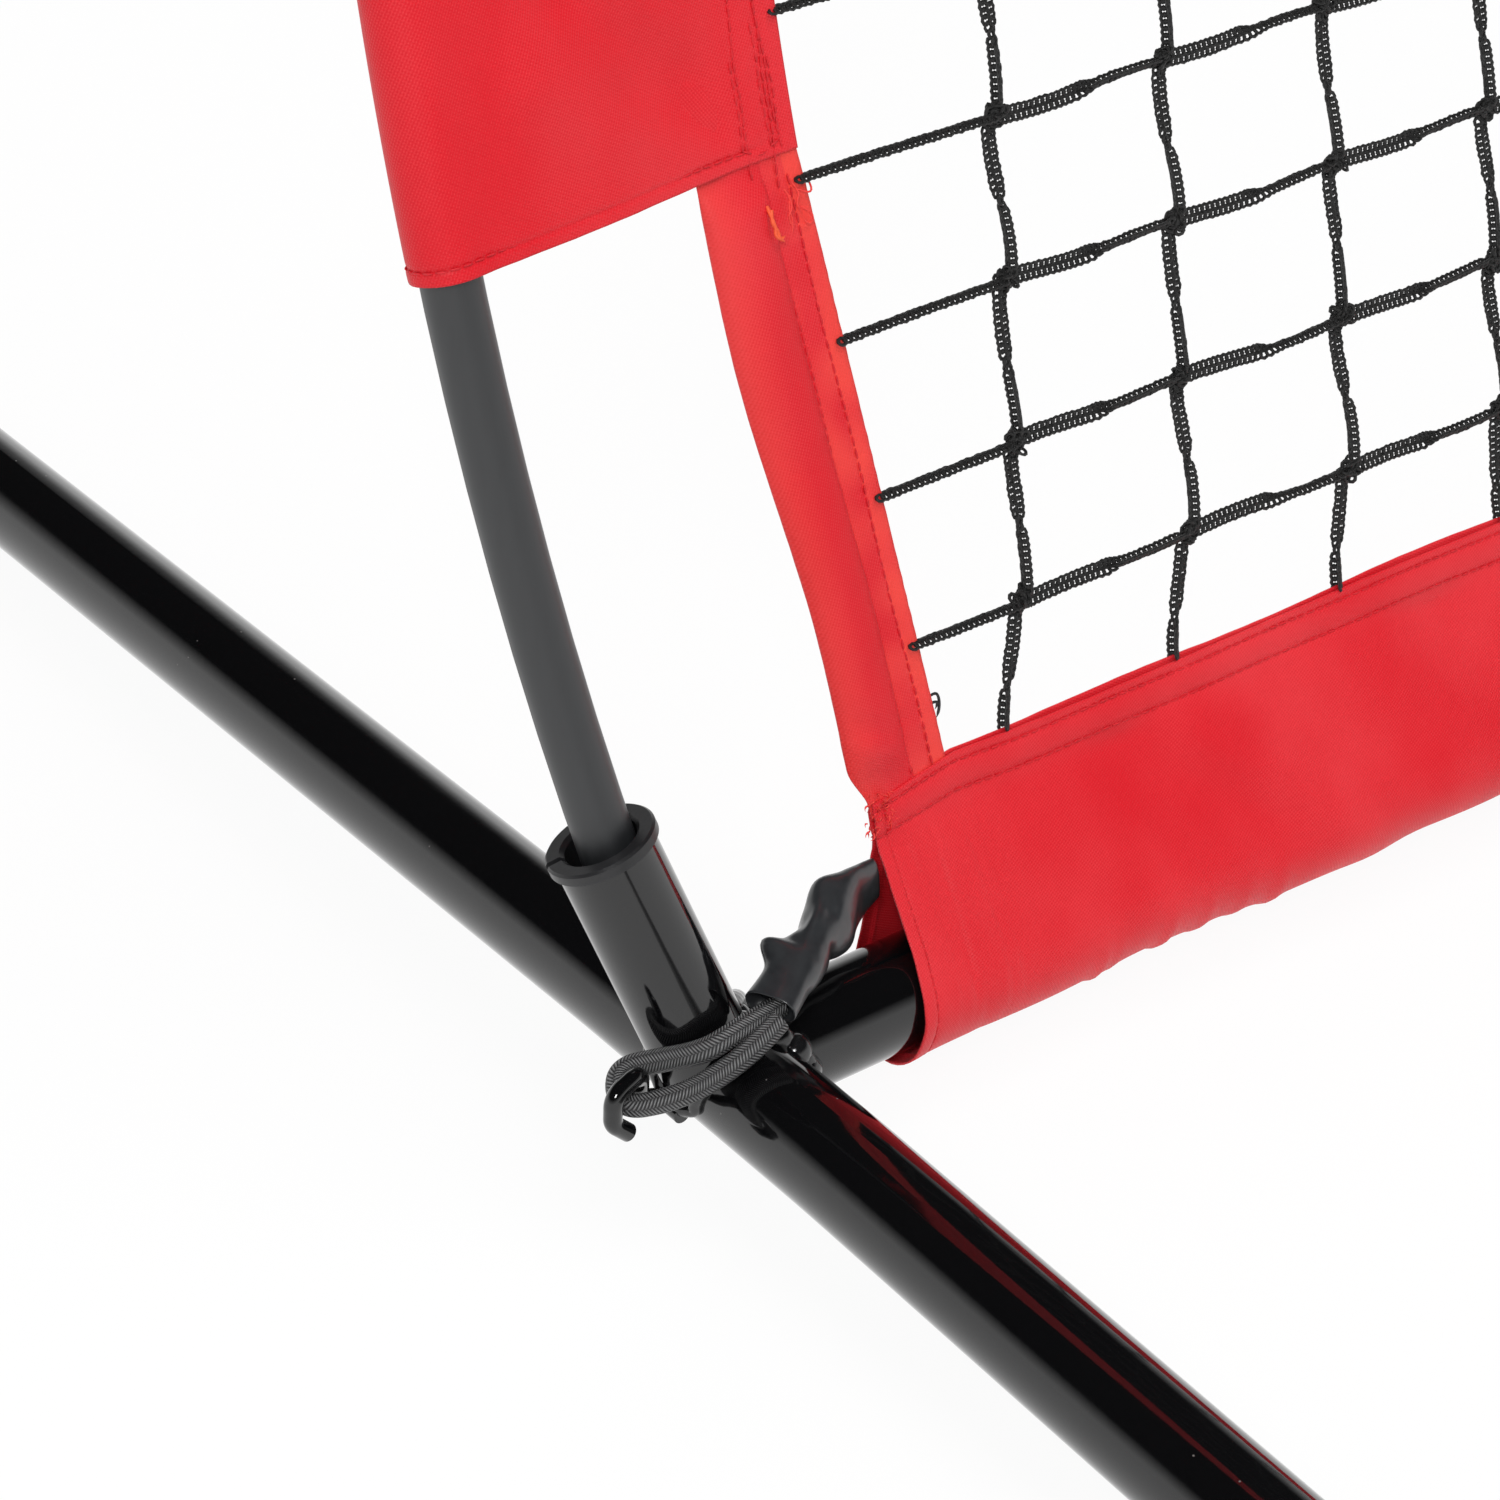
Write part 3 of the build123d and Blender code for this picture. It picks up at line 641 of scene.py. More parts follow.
def sideSleeveRows(cfg, side):
    edge = layout["panelEdge"]
    section = pocketSection(edge, edge - cfg["sewn"], cfg["pocket"], cfg["layerGap"], cfg["flats"],
                            *cfg["cuts"])
    normal, around = outwards(section), lengthsOf(section)
    s = np.concatenate([panelS + np.array([0, 0.6, 1.4, 2.2, 2.9, 3.5, 4.1, 5.0, 6.2, 8.0]),
                        np.arange(panelS + 10, panelS + 90, 2.2), np.arange(panelS + 92, topS - 8, 6.0),
                        topS - np.array([7.0, 5.0, 3.0, 1.5, 0.0])])
    hold = np.concatenate([np.ones(len(s)), [0.96, 0.8, 0.5, 0.15]])
    s = np.concatenate([s, topS + cfg["topRise"] * np.array([0.3, 0.62, 0.87, 1.0])])
    inward, lift = section[:, 0], section[:, 1]
    fromEdge, fromHem = edge - inward, (s - panelS)[:, None]
    flatShare = smooth(4.0, 26.0, inward) * smooth(15.0, 22.0, fromEdge)
    base = np.zeros((len(s), len(section), 3))
    for k, length in enumerate(s):
        u, v, turn = bow(length)
        base[k, :, 0] = u + inward * math.cos(turn)
        base[k, :, 1] = v - inward * math.sin(turn)
        base[k, :, 2] = lift * hold[k]
    places = laid(base, side)
    waves = flutter(places, cfg["wrinkleSize"], 3.1 + side)
    fine = flutter(places, cfg["fineSize"], 9.4 + side)
    rise = flatShare * (cfg["wrinkle"] * waves + cfg["belly"] * np.sin(np.clip(inward / 80, 0, 1) * math.pi))
    creases = softFolds(fromHem + panelS, inward[None, :], cfg["creases"])
    rise = rise + flatShare * creases * np.where(lift > 0, 1.0, 0.6)
    sewn = bell(fromEdge, 9.5, 5.0) * (0.28 * fine + 0.12 * np.sin(2 * math.pi * fromHem / 5.3 + 3 * waves))
    sewn = sewn - 0.3 * grooves(fromEdge, cfg["seams"], 0.7)
    hem = hemRise(fromHem, cfg["hem"], 0.16, 0.5) + 0.3 * fine * (1 - smooth(3.0, 7.0, fromHem))
    rise = (rise + sewn + hem * (inward < edge - 12)) * hold[:, None]
    lean = np.array([(math.cos(bow(length)[2]), -math.sin(bow(length)[2])) for length in s])
    base[..., 0] += rise * normal[:, 0] * lean[:, :1]
    base[..., 1] += rise * normal[:, 0] * lean[:, 1:]
    base[..., 2] += rise * normal[:, 1]
    return laid(base, side), around * mm, s * mm


for side, label in sides:
    flat = clothPiece(label + "_side_sleeve_cloth", sideSleeveRows(sideSleeve, side), sideSleeve["thickness"],
                      label + "_side_sleeve")
print("side sleeves", [round(f, 3) for f in flat])

# the corner strips: a puffed tube on the outboard side, sewn flat beside the net

cornerStrip = {
    "thickness": 0.45, "puff": 3.4, "flat": 0.55, "top": 224.0, "bottom": 47.0, "cut": 0.066,
    "waveSize": 0.02, "fineSize": 0.005, "patchSize": 0.013,
    # the two seams, as shares of the width from the outboard edge; a single layer lies past the second
    "seams": (0.62, 0.845),
    "folds": [((206, 2), (214, 22), 3.5, -1.2), ((74, 2), (62, 24), 4.0, -0.9), ((150, 4), (120, 18), 6.0, -0.5)],
}


def stripEdges(v):
    share = (v - layout["hemV"]) / (panelCorner[1] - layout["hemV"])
    inner = bow(panelS, layout["panelEdge"] - layout["stripTop"])
    left = layout["stripBottomU"][0] + (inner[0] - layout["stripBottomU"][0]) * share
    return left, edgeU(v)


def stripRows(cfg, side):
    split, flange = cfg["seams"]
    v = np.concatenate([np.arange(cfg["bottom"], 70, 1.5), np.arange(70, 205, 2.5),
                        np.arange(205, cfg["top"], 1.5)])
    x = np.concatenate([np.linspace(a, b, n)[:-1] for a, b, n in ((1, 0.88, 4), (0.88, 0.8, 6), (0.8, 0.66, 4),
                                                                  (0.66, 0.58, 6))]
                       + [0.58 * (0.5 + 0.5 * np.cos(np.linspace(0, math.pi, 16)))])
    x = np.concatenate([x, x[::-1][1:]])
    front = np.concatenate([np.ones(len(x) // 2 + 1), -np.ones(len(x) // 2)])
    held = smooth(54, 68, v) * (1 - smooth(206, 215, v)) * 0.94 + 0.06
    edges = np.array([stripEdges(value) for value in v])
    wide = (edges[:, 1] - edges[:, 0])[:, None]
    tube = np.sqrt(np.clip(1 - (2 * np.clip(x / split, 0, 1) - 1) ** 2, 0, 1)) ** 1.2
    base = np.zeros((len(v), len(x), 3))
    squeeze = 1 + 0.05 * np.sin(v / 21.0)[:, None] * (x < split)
    drawn = 1 - 0.14 * (1 - smooth(50, 62, v))[:, None] * (x < split)
    base[..., 0] = edges[:, 1:] - (1 - x) * wide * squeeze * drawn
    base[..., 1] = v[:, None]
    held = held[:, None]
    lift = tube * cfg["puff"] * held + cfg["flat"] * (0.35 + 0.65 * held) * smooth(0, 0.05, x)
    places = laid(base, side)
    waves = flutter(places, cfg["waveSize"], 5.7 + side)
    fine = flutter(places, cfg["fineSize"], 2.4 + side)
    lift = lift + tube * held * (0.6 * waves + softFolds(v[:, None], x * wide, cfg["folds"]))
    lift = lift - 0.32 * grooves(x, cfg["seams"], 0.022)
    lift = lift + (0.12 * fine + 0.1 * np.sin(2 * math.pi * v / 4.7)[:, None] * (x > 0.55)) * (0.3 + 0.7 * held)
    base[..., 2] = np.clip(lift, 0.12, None) * front
    around = np.concatenate([[0], np.cumsum(np.abs(np.diff(x)) * 30)])
    # painted light through the cloth, for the glow attribute: most on the single-layer flange, least where the layers
    # lie over each other, a painted gradient across the puffed tube, lightest at its outboard edge, and painted
    # patches on the flat part
    light = np.where(x > flange, 0.85, np.where(x > split, 0.15, 0.5 - 1.5 * x))
    places = laid(base, side)
    light = np.clip(light + 0.9 * flutter(places, cfg["patchSize"], 3.3) * (x > 0.6), -1, 1)
    return (places, around * mm, v * mm), light


for side, label in sides:
    grid, light = stripRows(cornerStrip, side)
    # the glow attribute carries the strip's painted light into its cloth colour
    clothPiece(label + "_corner_strip_cloth", grid, cornerStrip["thickness"], label + "_corner_strip",
               cornerStrip["cut"], {"glow": light.ravel()})
print("corner strips")

# the bottom sleeve: one sheet round the crossbar, its top edges sewn together over the net

bottomSleeve = {
    "thickness": 0.5, "radius": 14.75, "top": 57.0, "sewn": 14.0, "topGap": 0.7, "seams": (2.6, 10.2), "hem": 4.2,
    "sag": 2.6, "waveSize": 0.045, "fineSize": 0.006,
    "flats": (0, 0.6, 1.4, 2.1, 2.6, 3.2, 4.2, 6.0, 8.0, 9.5, 10.2, 10.9, 12.2), "cuts": (15, 26),
    # small gathers under the crossbar: distance from the foot tube's axis, width, depth
    "puckers": [(108, 1.8, 0.9), (113, 2.4, 0.5), (130, 2.0, 1.1), (143, 2.6, 0.8), (156, 2.2, 0.5),
                (168, 2.8, 0.9)],
    # crush lines beside the open end: distance from it, width, height
    "creases": [(10.5, 0.8, 0.24), (16.4, 0.8, -0.26), (18.6, 0.8, 0.22), (25.5, 1.0, 0.24), (27.8, 0.8, -0.2),
                (32.0, 1.1, -0.2)],
    "edge": [(50, 51.4), (53, 51.6), (60, 52.8), (70, 54.6), (79, 56.2), (98, 55.6), (124, 55.4), (165, 55.8),
             (221, 56.6), (264, 56.4), (330, 56.8)],
    "folds": [((57, 45), (70, -8), 2.2, -0.55), ((64, 46), (79, 4), 2.0, 0.5), ((73, 47), (88, 12), 2.4, -0.5),
              ((150, 40), (205, -10), 9.0, 2.4), ((126, 46), (176, 2), 9.0, -2.0), ((235, 46), (275, -6), 11.0, -2.2),
              ((100, 30), (140, -8), 9.0, 1.2), ((190, 48), (240, 4), 10.0, 1.2), ((340, 46), (300, -4), 13.0, -1.8),
              ((430, 46), (470, -4), 14.0, 1.6), ((540, 46), (500, -4), 14.0, -1.6)],
}


def topEdge(u):
    return np.interp(np.minimum(u, span - u), *zip(*bottomSleeve["edge"]))


def bottomSleeveRows(cfg):
    near = layout["hemU"] + np.concatenate([
        [0, 0.8, 1.8, 2.8, 3.6, 4.2, 4.8, 5.8, 7.2], np.arange(9, 36, 0.75), np.arange(37, 60, 1.9),
        np.arange(60, 136, 1.6), np.arange(138, 250, 4.0)])
    u = np.concatenate([near, np.linspace(near[-1] + 5, span / 2, 60)])
    u = np.concatenate([u, span - u[::-1][1:]])
    r, top = cfg["radius"], cfg["top"]
    section = pocketSection(top, top - cfg["sewn"], r, cfg["topGap"], cfg["flats"], *cfg["cuts"])
    normal, around = outwards(section), lengthsOf(section)
    v, lift = section[:, 0], section[:, 1]
    fromEnd = np.minimum(u, span - u)[:, None]
    fromHem, fromTop = fromEnd - layout["hemU"], (top - v)[None, :]
    base = np.zeros((len(u), len(v), 3))
    raised = (lift < 0) * smooth(0, 20, v + 14) * (0.9 + 0.5 * np.sin(u / 17.0))[:, None]
    share = np.clip((v + 2) / (top + 2), 0, 1)
    base[..., 0] = u[:, None]
    base[..., 1] = v + (topEdge(u)[:, None] - top) * share + raised * share ** 4
    base[..., 2] = lift
    hemLean = np.interp(v, [-16, 15, 52], [-3.0, 1.8, 3.2]) * np.exp(-fromHem / 18.0)
    base[..., 0] += hemLean * np.where(u < span / 2, 1, -1)[:, None]
    places = laid(base)
    waves, fine = flutter(places, cfg["waveSize"], 1.7), flutter(places, cfg["fineSize"], 6.2)
    flatShare = smooth(10.0, 16.0, fromTop) * smooth(-12, 2, v)
    under = np.clip(-v / r, 0, 1) ** 0.7
    sag = cfg["sag"] * (0.75 + 0.35 * np.sin(u / 31.0 + 0.8) + 0.25 * np.sin(u / 12.3))[:, None]
    pull = softFolds(fromEnd, v[None, :], cfg["folds"]) * np.where(lift > 0, 1.0, 0.55)
    rise = flatShare * (0.8 * waves + 0.7) + pull * smooth(9, 14, fromTop) + under * sag
    for place, wide, depth in cfg["puckers"]:
        rise = rise + depth * under * bell(fromEnd, place, wide)
    for place, wide, height in cfg["creases"]:
        rise = rise + height * bell(fromHem - 0.02 * v, place, wide) * flatShare * (lift > 0)
    sewn = 0.35 * smooth(2.4, 4.0, fromTop) * (1 - smooth(8.5, 10.2, fromTop))
    sewn = sewn + 0.22 * fine * (1 - smooth(10, 16, fromTop))
    rise = rise + sewn - 0.34 * grooves(fromTop, cfg["seams"], 0.6)
    rise = rise + hemRise(fromHem, cfg["hem"], 0.2, 0.6) + 0.3 * fine * (1 - smooth(3, 8, fromHem))
    base[..., 1] += rise * normal[:, 0]
    base[..., 2] += rise * normal[:, 1]
    return laid(base), around * mm, u * mm


bottomGrid = bottomSleeveRows(bottomSleeve)
clothPiece("bottom_sleeve_cloth", bottomGrid, bottomSleeve["thickness"], "bottom_sleeve")
print("bottom sleeve")

# the top band: a doubled strip between the side sleeves

topBand = {"thickness": 0.45, "gap": 0.8, "seams": (3.0, 56.5), "wrinkle": 0.6, "waveSize": 0.04}


def topBandRows(cfg):
    d = np.array([0, 1.2, 2.4, 3.0, 3.6, 5, 9, 15, 22, 30, 38, 45, 51, 54.5, 56, 56.5, 57, 58.5, 60])
    d = np.concatenate([d, d[::-1][1:-1], [0]])
    front = np.concatenate([np.ones(19), -np.ones(18)])
    share = np.linspace(0, 1, 150)
    base = np.zeros((len(share), len(d), 3))
    v = bandTop - d
    left = np.array([edgeU(value) for value in v]) - 3.0
    base[..., 0] = left + (span - 2 * left) * share[:, None]
    base[..., 1] = v
    waves = flutter(laid(base), cfg["waveSize"], 8.8)
    ends = np.sin(np.clip(d / layout["bandHeight"], 0.0, 1.0) * math.pi) ** 0.4
    lift = (cfg["gap"] + cfg["wrinkle"] * (1 + waves)) * ends + 0.1 - 0.3 * grooves(d, cfg["seams"], 0.6)
    base[..., 2] = np.clip(lift, 0.08, None) * front
    around = np.concatenate([[0], np.cumsum(np.abs(np.diff(d)))])
    return laid(base), around * mm, share * (span - 2 * left[0]) * mm


clothPiece("top_band_cloth", topBandRows(topBand), topBand["thickness"], "top_band")
print("top band")

# trees that set a small shape again and again along paths


def growingTree(name, sizes, build):
    # a Geometry Nodes tree with a named input for each size; build gives the geometry before it is made real
    tree = bpy.data.node_groups.new(name, "GeometryNodeTree")
    tree.interface.new_socket("Geometry", in_out="INPUT", socket_type="NodeSocketGeometry")
    sockets = {}
    for key, value in sizes.items():
        kind = "NodeSocketInt" if isinstance(value, int) else "NodeSocketFloat"
        sockets[key] = tree.interface.new_socket(key, in_out="INPUT", socket_type=kind).identifier
    sockets["Material"] = tree.interface.new_socket(
        "Material", in_out="INPUT", socket_type="NodeSocketMaterial").identifier
    tree.interface.new_socket("Geometry", in_out="OUTPUT", socket_type="NodeSocketGeometry")
    entry = addNode(tree, "NodeGroupInput")
    real = addNode(tree, "GeometryNodeRealizeInstances", None, {"Geometry": build(tree, entry)})
    painted = addNode(tree, "GeometryNodeSetMaterial", None, {
        "Geometry": real, "Material": entry.pick("Material")})
    addNode(tree, "NodeGroupOutput", None, [painted])
    return tree, sockets


def vectorMath(tree, operation, *values):
    return addNode(tree, "ShaderNodeVectorMath", {"operation": operation}, list(values))


def scaled(tree, vector, factor):
    return addNode(tree, "ShaderNodeVectorMath", {"operation": "SCALE"}, {"Vector": vector, "Scale": factor})


def grow(name, paths, treeAndSockets, sizes, material, attributes=None):
    # paths are arrays of places in metres; the tree's result becomes a plain mesh
    points = np.concatenate(paths)
    starts = np.cumsum([0] + [len(p) for p in paths])
    edges = [(i, i + 1) for a, b in zip(starts, starts[1:]) for i in range(a, b - 1)]
    mesh = bpy.data.meshes.new(name + "Paths")
    mesh.from_pydata([tuple(p) for p in points], edges, [])
    setAttributes(mesh, {key: np.concatenate(values) for key, values in (attributes or {}).items()})
    piece = placed(name, mesh)
    tree, sockets = treeAndSockets
    modifier = piece.modifiers.new("grow", "NODES")
    modifier.node_group = tree
    for key, value in {**sizes, "Material": material}.items():
        modifier[sockets[key]] = value
    bpy.context.view_layer.update()
    depsgraph = bpy.context.evaluated_depsgraph_get()
    grown = bpy.data.meshes.new_from_object(piece.evaluated_get(depsgraph), preserve_all_data_layers=True,
                                            depsgraph=depsgraph)
    piece.modifiers.clear()
    piece.data = grown
    bpy.data.meshes.remove(mesh)
    grown.name = name
    if material.name not in [m.name for m in grown.materials if m]:
        grown.materials.clear()
        grown.materials.append(material)
    grown.shade_smooth()
    return piece


def pointsAlong(tree, entry):
    curve = addNode(tree, "GeometryNodeMeshToCurve", None, {"Mesh": entry})
    return addNode(tree, "GeometryNodeCurveToPoints", {"mode": "LENGTH"},
                   {"Curve": curve, "Length": entry.pick("Pitch")})


def instances(tree, points, shape, rotation, entry, *sizes):
    size = addNode(tree, "ShaderNodeCombineXYZ", None, [entry.pick(name) for name in sizes])
    return addNode(tree, "GeometryNodeInstanceOnPoints", None, {
        "Points": points, "Instance": shape, "Rotation": rotation, "Scale": size})


def buildStitches(tree, entry):
    # small spindles laid end to end, each turned a little
    along = pointsAlong(tree, entry)
    spindle = addNode(tree, "GeometryNodeMeshUVSphere", None, {"Segments": 5, "Rings": 4, "Radius": 1.0})
    place = addNode(tree, "FunctionNodeAlignRotationToVector", {"axis": "Z"}, {"Vector": along.pick("Tangent")})
    slant = addNode(tree, "FunctionNodeRandomValue", {"data_type": "FLOAT_VECTOR"}, {
        "Min": (-0.09, -0.09, 0.0), "Max": (0.09, 0.09, 3.0), "Seed": entry.pick("Seed")})
    turned = addNode(tree, "FunctionNodeRotateRotation", {"rotation_space": "LOCAL"},
                     {"Rotation": place, "Rotate By": slant})
    return instances(tree, along, spindle, turned, entry, "Thickness", "Thickness", "Length")


def buildChain(tree, entry):
    # knitted loops in two columns, turned about the path by its twist
    along = pointsAlong(tree, entry)
    tangent = along.pick("Tangent")
    twist = addNode(tree, "GeometryNodeInputNamedAttribute", {"data_type": "FLOAT"}, {"Name": "twist"})
    index = addNode(tree, "GeometryNodeInputIndex")
    forward = (0.0, -leanCos, leanSin)
    across = vectorMath(tree, "NORMALIZE", vectorMath(tree, "CROSS_PRODUCT", tangent, forward))
    facing = vectorMath(tree, "CROSS_PRODUCT", across, tangent)
    odd = index.maths("MODULO", index, 2.0)
    swing = odd * 2.0 - 1.0
    onEdge = twist.maths("SINE", twist)
    roll = twist + swing * (entry.pick("Roll") + onEdge * onEdge * entry.pick("EdgeRoll"))
    roll = roll + addNode(tree, "FunctionNodeRandomValue", {"data_type": "FLOAT"},
                          {"Min": -0.2, "Max": 0.2, "Seed": entry.pick("Seed")}, 1)

    def turn(angle):
        cosine, sine = angle.maths("COSINE", angle), angle.maths("SINE", angle)
        return (vectorMath(tree, "ADD", scaled(tree, across, cosine), scaled(tree, facing, sine)),
                vectorMath(tree, "SUBTRACT", scaled(tree, facing, cosine), scaled(tree, across, sine)))

    sideways, _ = turn(twist)
    _, normal = turn(roll)
    shift = scaled(tree, sideways, swing * entry.pick("Apart"))
    rotation = addNode(tree, "FunctionNodeAxesToRotation", {"primary_axis": "Z", "secondary_axis": "X"},
                       [normal, tangent])
    ring = addNode(tree, "GeometryNodeCurvePrimitiveCircle", None, {"Resolution": 8, "Radius": 1.0})
    yarn = addNode(tree, "GeometryNodeCurvePrimitiveCircle", None, {"Resolution": 4, "Radius": 0.5})
    body = addNode(tree, "GeometryNodeCurveToMesh", None, {"Curve": ring, "Profile Curve": yarn})
    loops = instances(tree, along, body, rotation, entry, "Length", "Width", "Width")
    return addNode(tree, "GeometryNodeTranslateInstances", None,
                   {"Instances": loops, "Translation": shift, "Local Space": False})


netSizes = {
    "corner": (5, 5), "footShift": [-10.0, -9.0, -7.0, -2.5], "jog": 1.8, "halfWidth": 1.95, "halfDepth": 1.05,
    "coarseStep": 4.0, "tuck": 0.8,
    "fineStep": 1.6, "ringSides": 6,
    "chain": {"Pitch": 0.00085, "Length": 0.00112, "Width": 0.00098, "Apart": 0.00098, "Roll": 0.2,
              "EdgeRoll": 0.55, "Seed": 4},
}
netRows = [layout["firstRowV"]]
while netRows[-1] + layout["meshUp"] < bandFoot - layout["meshUp"] / 3:
    netRows.append(layout["firstRowV"] + layout["meshUp"] * len(netRows))
narrowing = (layout["halfSpan"] - edgeU(bandFoot) - 0.3) / (layout["halfSpan"] - edgeU(layout["panelBottomV"]))
columnCount = int((layout["halfSpan"] - layout["stripBottomU"][1]) / layout["meshAcross"])


def columnU(index, v):
    # index 1 is the first upright beside the left edge
    c = index - 1 - columnCount
    close = (v - layout["hemV"]) / (bandFoot - layout["hemV"])
    u = layout["halfSpan"] + layout["meshAcross"] * c * (1 + (narrowing - 1) * close)
    shifts = netSizes["footShift"]
    fromEdge = min(index, 2 * columnCount + 2 - index)
    shift = shifts[fromEdge - 1] if fromEdge <= len(shifts) else 3.0 * math.sin(index * 2.3)
    sign = 1 if index <= columnCount + 1 else -1
    return u + sign * shift * float(smooth(netRows[0], layout["hemV"] - 2, v))


def cellTwist(cell):
    # half a turn for each cell: face on after a node, then turned on edge to the next
    t = cell % 1.0
    return math.pi / 2 * (smooth(0.42, 0.6, t) + smooth(0.955, 1.0, t)) + math.pi * np.floor(cell)


def levelPath(row, start, end, step):
    # one level cord between two heights along it, and its twist
    v = netRows[row]
    nodes = np.array([columnU(i, v) for i in range(1, 2 * columnCount + 2)])
    u = np.linspace(start, end, max(int((end - start) / step), 2) + 1)
    cell = np.interp(u, nodes, np.arange(len(nodes)), left=-0.4, right=len(nodes) - 0.6)
    drift = 0.5 * np.sin(cell * 2 * math.pi + row) + 0.35 * np.sin(u / 23.0 + row * 1.7)
    return np.stack([u, v + drift, np.full_like(u, 0.35)], 1), cellTwist(cell)


def uprightPath(index, low, high, step):
    v = np.linspace(high, low, max(int((high - low) / step), 2) + 1)
    cell = (netRows[-1] - v) / layout["meshUp"]
    t = cell % 1.0
    side = netSizes["jog"] * (2 * smooth(0.06, 0.9, t) - 1) * smooth(0.0, 0.05, t) * (1 - smooth(0.95, 1.0, t))
    side = side * (v < netRows[-1] - 1)
    u = np.array([columnU(index, value) for value in v]) + side + 0.5 * np.sin(v / 9.0 + index)
    return np.stack([u, v, np.full_like(v, -0.35)], 1), cellTwist(cell)


def knotPath(u, v, seed):
    # a little tangle of loops where two cords cross
    spread = np.random.default_rng(seed).uniform(-1, 1, (8, 3)) * (2.3, 2.3, 0.9)
    return spread + (u, v, 0), np.random.default_rng(seed + 900).uniform(-1.2, 1.2, 8)


def ribbons(courses):
    # plainer cords for the far part of the net, each a twisted ribbon
    points, faces, offset, around = [], [], 0, netSizes["ringSides"]
    angles = ringAngles(around)
    x, y = netSizes["halfWidth"] * np.cos(angles)[None, :], netSizes["halfDepth"] * np.sin(angles)[None, :]
    for path, twist in courses:
        tangent = unit(np.gradient(path, axis=0))
        across = unit(np.cross(tangent, (0, 0, 1.0)))
        facing = np.cross(across, tangent)
        c, s = np.cos(twist)[:, None], np.sin(twist)[:, None]
        points.append(skinOn(path, across * c + facing * s, facing * c - across * s, x, y).reshape(-1, 3))
        for start in range(offset, offset + (len(path) - 1) * around, around):
            for j in range(around):
                a, b = start + j, start + (j + 1) % around
                faces.append((a, b, b + around, a + around))
        offset += len(path) * around
    return spots(np.concatenate(points)), faces


chainTree = growingTree("netChain", netSizes["chain"], buildChain)


def buildNet():
    rowsClose, columnsClose = netSizes["corner"]
    tuck, fine, coarse = netSizes["tuck"], netSizes["fineStep"], netSizes["coarseStep"]
    foot, last = layout["hemV"] - tuck, 2 * columnCount + 1
    for side, label in sides:
        courses = []
        for row, v in enumerate(netRows[:rowsClose]):
            courses.append(levelPath(row, edgeU(v) - tuck - 1.0, columnU(columnsClose, v), fine))
            courses += [knotPath(columnU(index, v), v, row * 31 + index) for index in range(1, columnsClose)]
        courses += [uprightPath(index, foot, netRows[rowsClose - 1], fine) for index in range(1, columnsClose)]
        corner = grow(label + "_net_corner", [spots(path, side) for path, twist in courses], chainTree,
                      netSizes["chain"], finishes["net"], {"twist": [twist for path, twist in courses]})
        done(corner, "net_cord")
        print("net corner", len(corner.data.polygons))
    levels, uprights = [], []
    for row, v in enumerate(netRows):
        edge = edgeU(v) - tuck
        ends = (edge, span - edge)
        if row < rowsClose:
            ends = (columnU(columnsClose, v), columnU(last + 1 - columnsClose, v))
        levels.append(levelPath(row, *ends, coarse))
    for index in range(1, last + 1):
        close = index < columnsClose or index > last + 1 - columnsClose
        uprights.append(uprightPath(index, netRows[rowsClose - 1] if close else foot, bandFoot + tuck, coarse))
    for name, courses, node in (("net_level_ribbons", levels, "net_level_cords"),
                                ("net_upright_ribbons", uprights, "net_upright_cords")):
        piece = meshPiece(name, *ribbons(courses), finishes["net"])
        done(piece, "net_cord", node)
        print(name, len(piece.data.polygons))


buildNet()

# the shrink sleeves: heat-shrunk tube over the loop's two strands, lumpy over their knot, flattened above it

shrinkSleeve = {
    # u, v, n, then half the width over the two strands, half the depth, and how square the section is
    "rings": [(4.2, 20.6, 17.8, 6.75, 4.1, 0.5), (8.5, 22.1, 16.1, 6.4, 4.2, 0.5), (12.5, 23.5, 14.4, 6.0, 5.0, 0.4),
              (16.0, 24.6, 13.0, 6.4, 6.2, 0.2), (19.5, 25.4, 11.6, 6.2, 6.2, 0.1), (23.5, 26.4, 9.9, 5.4, 6.4, 0.1),
              (28.5, 27.9, 7.4, 5.6, 8.2, 0.1), (33.5, 29.2, 5.2, 5.4, 9.4, 0.15), (38.5, 30.2, 3.2, 4.4, 9.3, 0.2),
              (43.0, 31.0, 1.8, 3.2, 8.4, 0.3), (47.0, 31.6, 0.9, 2.3, 7.2, 0.4), (51.0, 32.2, 0.4, 1.7, 6.2, 0.5)],
    "around": 64, "step": 0.7, "lump": 0.4, "lumpSize": 0.009, "rippleSize": 0.0025,
    # bumps: share along, turn in degrees from the strands' outer side, size along, size round, height
    "bumps": [(0.26, 216, 0.05, 0.5, 3.5), (0.30, 205, 0.10, 0.9, 0.9), (0.46, 222, 0.05, 0.8, -0.7),
              (0.67, 226, 0.085, 0.62, 2.9), (0.62, 34, 0.11, 0.7, 1.4), (0.46, 34, 0.05, 0.7, -1.2),
              (0.46, 272, 0.09, 0.3, 1.3), (0.57, 292, 0.06, 0.45, -1.1), (0.33, 255, 0.05, 0.5, -0.9)],
}


